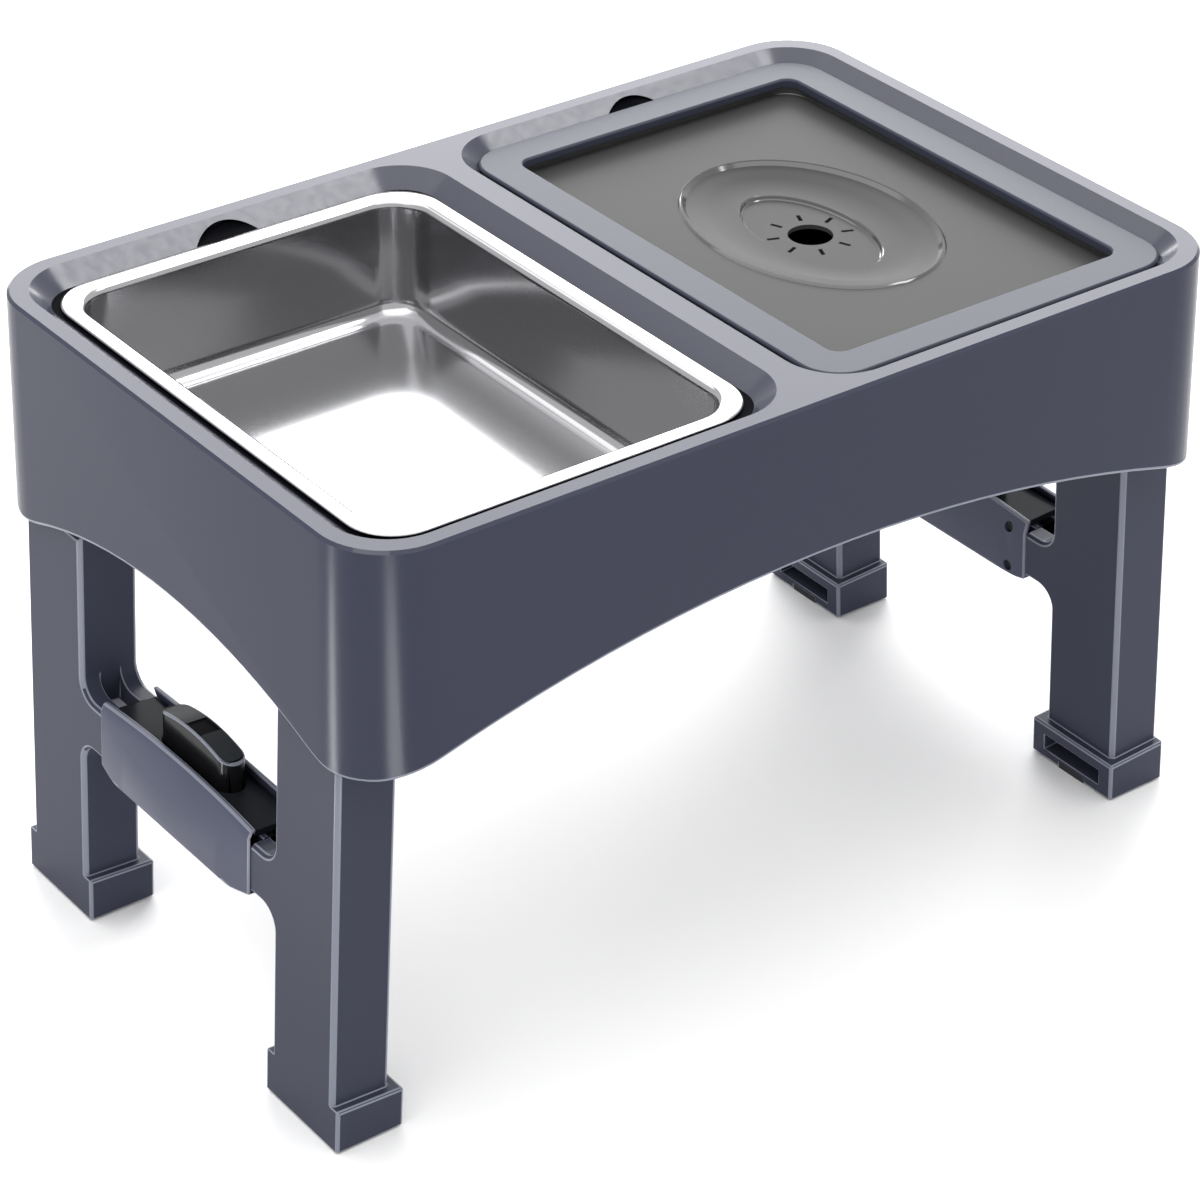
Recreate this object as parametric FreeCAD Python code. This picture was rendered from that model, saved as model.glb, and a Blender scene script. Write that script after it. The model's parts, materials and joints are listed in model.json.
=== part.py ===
import FreeCAD, Part
import math
import os

# Raised feeder for two bowls: a moulded table with a steel food bowl and a no-spill water bowl,
# on two folding legs whose H-frames slide on inner posts and are held by sprung bolts.
# Millimetres, +Z up, origin on the floor under the middle of the table.
# +X runs along the table towards the water bowl, -Y is the front.

# Table shell
TABLE_LENGTH = 430.0
TABLE_WIDTH = 282.0
TABLE_HEIGHT = 278.0
CORNER_RADIUS = 31.0
WALL = 2.5
FLARE_DEG = 1.6
RIM_EDGE = 1.2
SKIRT_DEPTH = 100.4
SIDE_CROWN_DEPTH = 68.0
SIDE_ARCH_RADIUS = 700.0
END_CROWN_DEPTH = 79.4
END_ARCH_RADIUS = 300.0
ARCH_FOOT_RADIUS = 60.0
BAR_RIB_DEPTH = 38.0
BAR_RIB_THICKNESS = 3.0

# Wells that the bowls drop into
RIM_WIDTH = 8.0
BAR_WIDTH = 12.0
WELL_DEPTH = 7.5
WELL_SLOPE_WIDTH = 8.5
WELL_CORNER_RADIUS = 26.0
LEDGE_WIDTH = 6.5
OPENING_CORNER_RADIUS = 21.0
NOTCH_WIDTH = 31.0
NOTCH_RISE = 5.8

# Bowls, cover and float
BOWL_RIM_GAP = 1.6
FOOD_LIP_GAP = 0.3
BOWL_DEPTH = 52.5
STEEL_GAUGE = 1.0
STEEL_RIM_THICKNESS = 1.8
STEEL_RIM_EDGE = 0.6
FOOD_LIP = 3.7
FOOD_HEEL = 7.0
BASIN_WALL = 2.0
BASIN_WALL_GAP = 0.8
BASIN_RIM_THICKNESS = 1.6
BASIN_HEEL = 6.0
COVER_PLATE = 1.9
COVER_LIP_DROP = 2.1
COVER_FRAME_WIDTH = 17.3
COVER_GAP = 0.8
COVER_LIP_GAP = 0.6
COVER_EDGE = 0.8
WINDOW_RADIUS = 6.0
FLOAT_SIDE_GAP = 1.0
FLOAT_SEAT_GAP = 0.3
FLOAT_SHEET = 2.0
FLOAT_BORDER_HEIGHT = 3.7
FLOAT_BORDER_WIDTH = 2.0
FLOAT_CORNER_RADIUS = 16.0
DISH_HALF_X = 49.5
DISH_HALF_Y = 67.0
DISH_STEP = 1.2
DISH_STEP_SLOPE = 1.8
DISH_FALL = 3.0
DISH_SLOPE_WIDTH = 12.0
DISC_HALF_X = 21.0
DISC_HALF_Y = 30.0
DISC_STEP = 1.8
DISC_STEP_SLOPE = 1.5
FLOAT_HOLE_RADIUS = 9.8
FLOAT_SLOT_COUNT = 8
FLOAT_SLOT_INNER = 14.0
FLOAT_SLOT_OUTER = 20.0
FLOAT_SLOT_WIDTH = 2.2

# Legs: hinge, inner posts and sliding H-frames
LEG_SPLAY_DEG = 3.15
LEG_WALL_GAP = 1.2
POST_PAST_CORNER = 7.8
HINGE_DROP = 81.0
PIN_RADIUS = 3.0
PIN_TAIL = 1.5
PIN_CLEARANCE = 0.05
LUG_RADIUS = 9.5
LUG_THICKNESS = 6.0
LUG_GAP = 0.6
STOP_GAP = 0.3
STOP_THICKNESS = 3.0
STOP_DROP = 7.0
POST_WIDTH = 43.6
POST_DEPTH = 27.4
POST_WALL = 3.3
POST_EDGE = 1.6
SLIDE_GAP = 0.35
SLEEVE_DROP = 11.5
INNER_EDGE = 1.8
INNER_END_MARGIN = 10.0
SOCKET_END_GAP = 10.0
GROOVE_WIDTH = 10.0
GROOVE_DEPTH = 6.0
HEIGHT_STEP = 25.0
HEIGHT_STEPS = 2

# Feet
FOOT_HEIGHT = 20.0
FOOT_STEP = 4.4
FOOT_EDGE = 0.9
FOOT_SLOT_WIDTH = 36.0
FOOT_SLOT_HEIGHT = 8.0
FOOT_SLOT_DEPTH = 11.0
FOOT_SLOT_LIFT = 6.0
PAD_LENGTH = 42.0
PAD_WIDTH = 22.0
PAD_THICKNESS = 4.0
PAD_PROUD = 1.0
PAD_TAB_LENGTH = 16.0
PAD_GAP = 0.15

# Crossbar, grip and latch
CROSSBAR_HEIGHT = 99.5
NECK_RISE = 11.5
NECK_DROP = 11.5
NECK_FILLET = 9.0
NECK_LENGTH = 16.7
GRIP_END_GAP = 0.2
CORE_WALL = 2.6
CORE_FLOOR = 2.0
CORE_CHAMFER = 2.5
CORE_LAP = 3.0
CHANNEL_HALF = 4.8
CHANNEL_MID_HALF = 6.4
CHANNEL_MID_LENGTH = 58.0
CHANNEL_DEPTH = 13.0
SHELL_WALL = 2.4
SHELL_PARTING_GAP = 0.15
SHELL_TOP_X = 12.2
SHELL_TOP_RISE_END = 16.5
SHELL_TOP_RISE_MID = 19.0
SHELL_BOTTOM_DROP_END = 11.6
SHELL_BOTTOM_DROP_MID = 19.0
SHELL_SIDE_END = 14.6
OUTER_BELLY = 4.1
INNER_BELLY = 1.9
SHELL_LEAN_START = 5.0
SHELL_ROUND = 12.0
SHELL_ROUND_DIP = 0.6
DECK_THICKNESS = 3.0
DECK_END_INSET = 3.3
DECK_SIDE_GAP = 0.4
BUTTON_HALF_LENGTH = 26.0
BUTTON_HALF_WIDTH = 6.0
BUTTON_GAP = 0.4
BUTTON_RISE = 17.0
BUTTON_CROWN = 4.0
BUTTON_INSET_MARGIN = 2.0
BUTTON_INSET_HALF = 5.5
BUTTON_INSET_DEPTH = 0.6
BUTTON_TRAVEL = 5.0
TAB_REACH = 2.4
TAB_THICKNESS = 1.2
TAB_HALF_WIDTH = 4.0
BOLT_HEIGHT = 5.6
BOLT_GAP = 0.4
BOLT_TIP_GAP = 0.3
BOLT_INNER_END = 8.0
RAMP_START = 16.0
RAMP_GAP = 0.3
PRONG_HALF = 1.7
PRONG_OUTER = 23.5
PRONG_TIP_DIP = 0.6
PRONG_SLOT_GAP = 0.5
POCKET_DEPTH = 5.0
PEG_RADIUS = 1.3
PEG_LENGTH = 2.3
SPRING_RADIUS = 2.3
SPRING_WALL = 0.6
SPRING_END_GAP = 0.3

# Cuts run this far past the faces that they open, and ends this close are one place
OVERRUN = 6.0
TOUCH = 0.001

V = FreeCAD.Vector
X_AXIS = V(1, 0, 0)
Y_AXIS = V(0, 1, 0)
Z_AXIS = V(0, 0, 1)
SIDES = {"left": -1, "right": 1}
ROWS = {"front": -1, "back": 1}

# Places that follow from the sizes above
flare = math.tan(math.radians(FLARE_DEG))
skirt_bottom = TABLE_HEIGHT - SKIRT_DEPTH
ledge_z = TABLE_HEIGHT - WELL_DEPTH
well_half_x = (TABLE_LENGTH / 2 - RIM_WIDTH - BAR_WIDTH / 2) / 2
well_half_y = TABLE_WIDTH / 2 - RIM_WIDTH
well_x = BAR_WIDTH / 2 + well_half_x
opening_half_x = well_half_x - WELL_SLOPE_WIDTH - LEDGE_WIDTH
opening_half_y = well_half_y - WELL_SLOPE_WIDTH - LEDGE_WIDTH
bowl_bottom_z = ledge_z - BOWL_DEPTH

splay = math.radians(LEG_SPLAY_DEG)
hinge_z = TABLE_HEIGHT - HINGE_DROP
sleeve_top_wall_x = TABLE_LENGTH / 2 + flare * (HINGE_DROP + SLEEVE_DROP) - WALL
hinge_x = sleeve_top_wall_x - LEG_WALL_GAP - POST_DEPTH / 2 - SLEEVE_DROP * math.tan(splay)
post_y = TABLE_WIDTH / 2 - CORNER_RADIUS + POST_PAST_CORNER - POST_WIDTH / 2
post_inner_y = post_y - POST_WIDTH / 2
post_half = POST_DEPTH / 2
grip_half_length = post_inner_y - NECK_LENGTH - GRIP_END_GAP
deck_half_length = grip_half_length - DECK_END_INSET
inner_half_x = post_half - POST_WALL - SLIDE_GAP
inner_half_y = POST_WIDTH / 2 - POST_WALL - SLIDE_GAP
leg_length = hinge_z / math.cos(splay)

bar_z = -(hinge_z - CROSSBAR_HEIGHT) / math.cos(splay)
neck_top = bar_z + NECK_RISE
neck_bottom = bar_z - NECK_DROP
core_top = neck_top - SHELL_PARTING_GAP
channel_bottom = core_top - CHANNEL_DEPTH
deck_top = core_top + DECK_THICKNESS
bolt_bottom = channel_bottom + BOLT_GAP
bolt_top = bolt_bottom + BOLT_HEIGHT
bolt_mid = (bolt_bottom + bolt_top) / 2
bolt_half = CHANNEL_HALF - BOLT_GAP
bolt_tip_y = post_y - inner_half_y - BOLT_TIP_GAP
inner_bottom = bolt_bottom - HEIGHT_STEP * HEIGHT_STEPS - INNER_END_MARGIN
socket_bottom = inner_bottom - SOCKET_END_GAP


def box(low, high):
    """Box between two corners."""
    size = high - low
    return Part.makeBox(size.x, size.y, size.z, low)


def rounded_outline(half_x, half_y, radius, z, centre_x=0):
    """Closed outline of a rectangle with round corners, at one height."""
    edges = []
    corners = [(1, -1), (1, 1), (-1, 1), (-1, -1)]
    diagonal = radius * math.sqrt(2) / 2
    previous = None
    first = None
    for turn, (sx, sy) in enumerate(corners):
        centre = V(centre_x + sx * (half_x - radius), sy * (half_y - radius), z)
        along_x = centre + V(sx * radius, 0, 0)
        along_y = centre + V(0, sy * radius, 0)
        middle = centre + V(sx * diagonal, sy * diagonal, 0)
        start, end = (along_y, along_x) if turn % 2 == 0 else (along_x, along_y)
        if previous is None:
            first = start
        else:
            edges.append(Part.makeLine(previous, start))
        edges.append(Part.Arc(start, middle, end).toShape())
        previous = end
    edges.append(Part.makeLine(previous, first))
    return Part.Wire(edges)


def rounded_block(half_x, half_y, radius, low_z, high_z, centre_x=0):
    """Upright block with round corners."""
    return prism(rounded_outline(half_x, half_y, radius, low_z, centre_x), high_z - low_z)


def prism(outline, height):
    """Upright prism of a level outline."""
    return Part.Face(outline).extrude(V(0, 0, height))


def ruled_loft(outlines):
    """Straight-sided solid through a stack of outlines."""
    return Part.makeLoft(outlines, True, True)


def level_edges(shape, z, keep):
    """Edges that lie level at one height and whose middle passes a test."""
    found = []
    for edge in shape.Edges:
        middle = edge.valueAt((edge.FirstParameter + edge.LastParameter) / 2)
        points = [vertex.Point for vertex in edge.Vertexes] + [middle]
        if max(abs(point.z - z) for point in points) < TOUCH and keep(middle):
            found.append(edge)
    return found


def every_edge(middle):
    """Test that all edges pass."""
    return True


def table_outline(inset, z):
    """Outline of the table's flared wall at one height, moved in by a distance."""
    spread = flare * (TABLE_HEIGHT - z) - inset
    return rounded_outline(TABLE_LENGTH / 2 + spread, TABLE_WIDTH / 2 + spread, CORNER_RADIUS + spread, z)


def table_block(inset, low_z, high_z):
    """Flared block inside the table's outline."""
    return ruled_loft([table_outline(inset, low_z), table_outline(inset, high_z)])


def arch_face(crown_z, radius, foot_radius, foot_z, along):
    """Arch that falls from a crown and runs out level at its feet, upright along one direction."""
    drop = crown_z - foot_z
    centres = radius + foot_radius
    reach = math.sqrt(2 * centres * drop - drop ** 2)
    crown_share = radius / centres
    meet = (reach * crown_share, crown_z - radius + (foot_z + foot_radius - crown_z + radius) * crown_share)
    out = (meet[0] - reach, meet[1] - foot_z - foot_radius - foot_radius)
    out_length = math.hypot(out[0], out[1])
    turn_share = foot_radius / out_length
    turn = (reach + out[0] * turn_share, foot_z + foot_radius + out[1] * turn_share)
    low_z = foot_z - OVERRUN

    def at(point, side):
        return V(along.x * point[0] * side, along.y * point[0] * side, point[1])

    foot = (reach, foot_z)
    low = (reach, low_z)
    edges = [
        Part.Arc(at(foot, -1), at(turn, -1), at(meet, -1)).toShape(),
        Part.Arc(at(meet, -1), at((0, crown_z), 1), at(meet, 1)).toShape(),
        Part.Arc(at(meet, 1), at(turn, 1), at(foot, 1)).toShape(),
        Part.makeLine(at(foot, 1), at(low, 1)),
        Part.makeLine(at(low, 1), at(low, -1)),
        Part.makeLine(at(low, -1), at(foot, -1)),
    ]
    return Part.Face(Part.Wire(edges))


def through(face, direction, reach):
    """Prism of a face to both sides of its plane."""
    moved = face.translated(direction * -reach)
    return moved.extrude(direction * (reach + reach))


def well_outline(grow, z):
    """Outline of the right well's sloped wall at one height, moved out by a distance."""
    slope = WELL_SLOPE_WIDTH * (TABLE_HEIGHT - z) / WELL_DEPTH - grow
    return rounded_outline(well_half_x - slope, well_half_y - slope, WELL_CORNER_RADIUS - slope, z, well_x)


def opening_block(low_z, high_z):
    """Space inside the right ledge."""
    return rounded_block(opening_half_x, opening_half_y, OPENING_CORNER_RADIUS, low_z, high_z, well_x)


def finger_notch():
    """Arched notch in the back slope of the right well, from the ledge up."""
    radius = ((NOTCH_WIDTH / 2) ** 2 + NOTCH_RISE ** 2) / (NOTCH_RISE + NOTCH_RISE)
    crown_z = ledge_z + NOTCH_RISE
    slope_foot_y = well_half_y - WELL_SLOPE_WIDTH
    notch_back = slope_foot_y + WELL_SLOPE_WIDTH * NOTCH_RISE / WELL_DEPTH
    start = V(well_x, slope_foot_y, crown_z - radius)
    drum = Part.makeCylinder(radius, notch_back - slope_foot_y, start, Y_AXIS)
    low = V(well_x - NOTCH_WIDTH, slope_foot_y - OVERRUN, ledge_z)
    high = V(well_x + NOTCH_WIDTH, notch_back + OVERRUN, crown_z + OVERRUN)
    return drum.common(box(low, high))


def hinge_lugs():
    """Lugs and stop walls that carry the right leg."""
    top = TABLE_HEIGHT - WALL / 2
    outside = TABLE_LENGTH / 2 + OVERRUN
    flat = LUG_RADIUS * math.tan(math.radians(45 / 2))
    low_z = hinge_z - LUG_RADIUS
    inner_x = hinge_x - LUG_RADIUS
    outer_x = hinge_x + LUG_RADIUS
    corners = [V(inner_x, 0, top), V(inner_x, 0, hinge_z - flat), V(hinge_x - flat, 0, low_z),
               V(hinge_x + flat, 0, low_z), V(outer_x, 0, hinge_z - flat),
               V(outside, 0, hinge_z + LUG_RADIUS), V(outside, 0, top)]
    lug = Part.Face(Part.makePolygon(corners + corners[:1])).extrude(V(0, LUG_THICKNESS, 0))
    reach = inner_half_y + LUG_GAP
    stop_x = inner_half_x + STOP_GAP
    pieces = []
    for row in ROWS.values():
        centre = row * post_y
        pieces.append(lug.translated(V(0, centre + reach, 0)))
        pieces.append(lug.translated(V(0, centre - reach - LUG_THICKNESS, 0)))
        stop_low = V(stop_x, centre - reach - LUG_THICKNESS / 2, -STOP_DROP)
        stop_high = V(stop_x + STOP_THICKNESS, centre + reach + LUG_THICKNESS / 2, HINGE_DROP)
        pieces.append(placed(box(stop_low, stop_high), "right"))
    limit = table_block(WALL / 2, skirt_bottom, top)
    return [piece.common(limit) for piece in pieces]


def turned(shape):
    """Copy on the left side, half a turn about the upright middle line."""
    copy = shape.copy()
    copy.rotate(V(0, 0, 0), Z_AXIS, 180)
    return copy


def placed(shape, side):
    """Copy of a leg piece, taken from the hinge's own frame to one side of the table."""
    copy = shape.copy()
    copy.rotate(V(0, 0, 0), Y_AXIS, -LEG_SPLAY_DEG)
    copy.translate(V(hinge_x, 0, hinge_z))
    return copy if side == "right" else turned(copy)


def pin_hole(radius):
    """Bore along the right hinge line, through its lugs."""
    reach = post_y + inner_half_y + LUG_GAP + LUG_THICKNESS + OVERRUN
    return Part.makeCylinder(radius, reach + reach, V(hinge_x, -reach, hinge_z), Y_AXIS)


def table_body():
    """Shell with its wells, ledges, arched skirt, rib and hinge lugs."""
    outer = table_block(0, skirt_bottom, TABLE_HEIGHT)
    outer = outer.makeChamfer(RIM_EDGE, level_edges(outer, TABLE_HEIGHT, every_edge))
    boss_bottom = ledge_z - WALL
    boss = ruled_loft([well_outline(WALL, ledge_z), well_outline(WALL, TABLE_HEIGHT)])
    boss = boss.fuse(prism(well_outline(WALL, ledge_z), boss_bottom - ledge_z))
    cavity = table_block(WALL, skirt_bottom - OVERRUN, TABLE_HEIGHT - WALL)
    cavity = cavity.cut([boss, turned(boss)])
    shell = outer.cut(cavity)
    side_crown = TABLE_HEIGHT - SIDE_CROWN_DEPTH
    end_crown = TABLE_HEIGHT - END_CROWN_DEPTH
    side_arch = arch_face(side_crown, SIDE_ARCH_RADIUS, ARCH_FOOT_RADIUS, skirt_bottom, X_AXIS)
    end_arch = arch_face(end_crown, END_ARCH_RADIUS, ARCH_FOOT_RADIUS, skirt_bottom, Y_AXIS)
    shell = shell.cut([through(side_arch, Y_AXIS, TABLE_WIDTH), through(end_arch, X_AXIS, TABLE_LENGTH)])
    rib_low = V(-BAR_RIB_THICKNESS / 2, -TABLE_WIDTH / 2 + WALL / 2, TABLE_HEIGHT - BAR_RIB_DEPTH)
    rib_high = V(BAR_RIB_THICKNESS / 2, TABLE_WIDTH / 2 - WALL / 2, TABLE_HEIGHT - WALL / 2)
    lugs = hinge_lugs()
    shell = shell.fuse([box(rib_low, rib_high)] + lugs + [turned(lug) for lug in lugs])
    well = ruled_loft([well_outline(0, ledge_z), well_outline(0, TABLE_HEIGHT + OVERRUN)])
    opening = opening_block(bowl_bottom_z - WALL, ledge_z + WALL)
    bore = pin_hole(PIN_RADIUS + PIN_CLEARANCE)
    notch = finger_notch()
    notch_left = notch.mirror(V(0, 0, 0), X_AXIS)
    cuts = [well, turned(well), opening, turned(opening), bore, turned(bore), notch, notch_left]
    return shell.cut(cuts).removeSplitter()


def bowl_outline(gap, z):
    """Outline of a bowl wall inside the right opening."""
    half_x = opening_half_x - gap
    return rounded_outline(half_x, opening_half_y - gap, OPENING_CORNER_RADIUS - gap, z, well_x)


def bowl_block(gap, heel, low_z, high_z):
    """Block inside the right opening, with a sloped heel."""
    block = prism(bowl_outline(gap, low_z), high_z - low_z)
    return block.makeChamfer(heel, level_edges(block, low_z, every_edge))


def bowl_rim_outline(z):
    """Outer outline of a rim on the right ledge."""
    inset = WELL_SLOPE_WIDTH + BOWL_RIM_GAP
    return rounded_outline(well_half_x - inset, well_half_y - inset, WELL_CORNER_RADIUS - inset, z, well_x)


def bowl_rim(low_z, high_z):
    """Flat rim that lies on the right ledge."""
    return prism(bowl_rim_outline(low_z), high_z - low_z)


def food_bowl():
    """Drawn steel bowl with a flat rim, a sloped lip and a sloped heel."""
    top = ledge_z + STEEL_RIM_THICKNESS
    bend = FOOD_LIP - STEEL_GAUGE
    gap = bend + FOOD_LIP_GAP
    hull = bowl_block(gap, FOOD_HEEL, bowl_bottom_z, ledge_z)
    collar = ruled_loft([bowl_outline(gap, ledge_z - bend), bowl_outline(gap - bend, ledge_z)])
    hollow = bowl_block(gap + STEEL_GAUGE, FOOD_HEEL, bowl_bottom_z + STEEL_GAUGE, top + OVERRUN)
    rim = bowl_rim(ledge_z, top)
    rim = rim.makeChamfer(STEEL_RIM_EDGE, level_edges(rim, top, every_edge))
    bowl = hull.fuse([collar, rim]).cut(hollow).removeSplitter()
    rim_line = bowl_rim_outline(top)

    def on_lip(middle):
        return Part.Vertex(middle).distToShape(rim_line)[0] > FOOD_LIP

    return bowl.makeChamfer(FOOD_LIP, level_edges(bowl, top, on_lip))


def water_bowl():
    """Moulded basin with a flat rim and a sloped heel."""
    top = ledge_z + BASIN_RIM_THICKNESS
    hull = bowl_block(BASIN_WALL_GAP, BASIN_HEEL, bowl_bottom_z, ledge_z)
    hollow = bowl_block(BASIN_WALL_GAP + BASIN_WALL, BASIN_HEEL, bowl_bottom_z + BASIN_WALL, top + OVERRUN)
    return hull.fuse(bowl_rim(ledge_z, top)).cut(hollow).removeSplitter()


# Cover and float follow the basin and the sloped wall around it
basin_top = ledge_z + BASIN_RIM_THICKNESS
cover_spread = WELL_SLOPE_WIDTH * BASIN_RIM_THICKNESS / WELL_DEPTH - COVER_GAP - WELL_SLOPE_WIDTH
cover_half_x = well_half_x + cover_spread
cover_half_y = well_half_y + cover_spread
cover_top = basin_top + COVER_PLATE
lip_bottom = basin_top - COVER_LIP_DROP
float_top = lip_bottom - FLOAT_SEAT_GAP - FLOAT_BORDER_HEIGHT
float_bottom = float_top - DISH_STEP - DISH_FALL - DISC_STEP - FLOAT_SHEET
basin_inset = WELL_SLOPE_WIDTH + LEDGE_WIDTH + BASIN_WALL_GAP + BASIN_WALL
float_inset = basin_inset + FLOAT_SIDE_GAP
float_half_x = well_half_x - float_inset
float_half_y = well_half_y - float_inset


def splash_cover():
    """Frame with a lip that drops inside the basin."""
    radius = WELL_CORNER_RADIUS + cover_spread
    plate = rounded_block(cover_half_x, cover_half_y, radius, basin_top, cover_top, well_x)
    plate = plate.makeChamfer(COVER_EDGE, level_edges(plate, cover_top, every_edge))
    lip_inset = basin_inset + COVER_LIP_GAP
    lip_radius = OPENING_CORNER_RADIUS - BASIN_WALL_GAP - BASIN_WALL
    lip_x = well_half_x - lip_inset
    lip = rounded_block(lip_x, well_half_y - lip_inset, lip_radius, lip_bottom, basin_top, well_x)
    window_x = cover_half_x - COVER_FRAME_WIDTH
    window_y = cover_half_y - COVER_FRAME_WIDTH
    low_z = lip_bottom - OVERRUN
    window = rounded_block(window_x, window_y, WINDOW_RADIUS, low_z, cover_top + OVERRUN, well_x)
    cover = plate.fuse(lip).cut(window).removeSplitter()

    def beside_window(middle):
        return abs(middle.x - well_x) < window_x + TOUCH and abs(middle.y) < window_y + TOUCH

    return cover.makeChamfer(COVER_EDGE, level_edges(cover, cover_top, beside_window))


def oval(half_x, half_y, inset, z):
    """Level four-centred oval over the middle of the right well, moved in by a distance."""
    diagonal = math.hypot(half_x, half_y)
    pitch = (diagonal - half_y + half_x) / 2
    end_radius = pitch * diagonal / half_y
    side_radius = pitch * diagonal / half_x
    end_y = half_y - end_radius
    side_x = side_radius - half_x
    reach = math.hypot(side_x, end_y)
    meet_x = side_x / reach * (end_radius - inset)
    meet_y = end_y + end_y / reach * (end_radius - inset)

    def at(x, y):
        return V(well_x + x, y, z)

    arcs = [
        Part.Arc(at(meet_x, -meet_y), at(half_x - inset, 0), at(meet_x, meet_y)),
        Part.Arc(at(meet_x, meet_y), at(0, half_y - inset), at(-meet_x, meet_y)),
        Part.Arc(at(-meet_x, meet_y), at(inset - half_x, 0), at(-meet_x, -meet_y)),
        Part.Arc(at(-meet_x, -meet_y), at(0, inset - half_y), at(meet_x, -meet_y)),
    ]
    return Part.Wire([arc.toShape() for arc in arcs])


def dish():
    """Space of the oval dish, which steps down and slopes to a floor with a sunk disc."""
    clear_z = float_top + FLOAT_BORDER_HEIGHT + OVERRUN
    step_z = float_top - DISH_STEP
    floor_z = step_z - DISH_FALL
    slope_end = DISH_STEP_SLOPE + DISH_SLOPE_WIDTH
    levels = [(0, clear_z), (0, float_top), (DISH_STEP_SLOPE, step_z), (slope_end, floor_z)]
    bowl = ruled_loft([oval(DISH_HALF_X, DISH_HALF_Y, inset, z) for inset, z in levels])
    levels = [(-DISC_STEP_SLOPE, clear_z), (-DISC_STEP_SLOPE, floor_z), (0, floor_z - DISC_STEP)]
    return bowl.fuse(ruled_loft([oval(DISC_HALF_X, DISC_HALF_Y, inset, z) for inset, z in levels]))


def float_plate():
    """Plate with a raised border, an oval dish, a hole and a ring of slots."""
    border_top = float_top + FLOAT_BORDER_HEIGHT
    low = float_top - FLOAT_SHEET
    plate = rounded_block(float_half_x, float_half_y, FLOAT_CORNER_RADIUS, low, border_top, well_x)
    inner_x = float_half_x - FLOAT_BORDER_WIDTH
    inner_y = float_half_y - FLOAT_BORDER_WIDTH
    inner_radius = FLOAT_CORNER_RADIUS - FLOAT_BORDER_WIDTH
    tray = rounded_block(inner_x, inner_y, inner_radius, float_top, border_top + OVERRUN, well_x)
    plate = plate.cut(tray)
    keel = oval(DISH_HALF_X, DISH_HALF_Y, 0, float_bottom)
    plate = plate.fuse(prism(keel, float_top - FLOAT_SHEET / 2 - float_bottom))
    depth = border_top - float_bottom + OVERRUN + OVERRUN
    start = V(well_x, 0, float_bottom - OVERRUN)
    cuts = [dish(), Part.makeCylinder(FLOAT_HOLE_RADIUS, depth, start)]
    for index in range(FLOAT_SLOT_COUNT):
        slot_low = V(FLOAT_SLOT_INNER, -FLOAT_SLOT_WIDTH / 2, start.z)
        slot_high = V(FLOAT_SLOT_OUTER, FLOAT_SLOT_WIDTH / 2, float_top)
        slot = box(slot_low, slot_high)
        slot.rotate(V(0, 0, 0), Z_AXIS, (index + index + 1) * 180 / FLOAT_SLOT_COUNT)
        cuts.append(slot.translated(V(well_x, 0, 0)))
    return plate.cut(cuts).removeSplitter()


def edged_block(low, high):
    """Box with sloped upright edges, for the inner posts and their sockets."""
    block = box(low, high)
    upright = [edge for edge in block.Edges if abs(edge.Vertexes[0].Z - edge.Vertexes[1].Z) > TOUCH]
    return block.makeChamfer(INNER_EDGE, upright)


def inner_post(row):
    """Post that hangs from the hinge, with three bolt pockets and a lightening groove."""
    low = V(-inner_half_x, row * post_y - inner_half_y, inner_bottom)
    high = V(inner_half_x, row * post_y + inner_half_y, 0)
    post = edged_block(low, high)
    eye_start = V(0, row * post_y - inner_half_y, 0)
    post = post.fuse(Part.makeCylinder(inner_half_x, inner_half_y + inner_half_y, eye_start, Y_AXIS))
    cuts = [Part.makeCylinder(PIN_RADIUS + PIN_CLEARANCE, TABLE_WIDTH, V(0, -TABLE_WIDTH / 2, 0), Y_AXIS)]
    face_y = post_y - inner_half_y
    for step in range(HEIGHT_STEPS + 1):
        fall = step * HEIGHT_STEP
        ends = sorted([row * (face_y - OVERRUN), row * (face_y + POCKET_DEPTH)])
        pocket_low = V(-bolt_half - BOLT_GAP, ends[0], bolt_bottom - fall - BOLT_GAP)
        pocket_high = V(bolt_half + BOLT_GAP, ends[1], bolt_top - fall + BOLT_GAP)
        cuts.append(box(pocket_low, pocket_high))
    far_y = post_y + inner_half_y
    ends = sorted([row * (far_y - GROOVE_DEPTH), row * (far_y + OVERRUN)])
    groove_low = V(-GROOVE_WIDTH / 2, ends[0], inner_bottom + INNER_END_MARGIN)
    groove_high = V(GROOVE_WIDTH / 2, ends[1], -inner_half_x - SLEEVE_DROP)
    cuts.append(box(groove_low, groove_high))
    return post.cut(cuts).removeSplitter()


def hinge_pin(row):
    """Steel dowel through one pair of lugs."""
    reach = inner_half_y + LUG_GAP + LUG_THICKNESS + PIN_TAIL
    return Part.makeCylinder(PIN_RADIUS, reach + reach, V(0, row * post_y - reach, 0), Y_AXIS)


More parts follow.
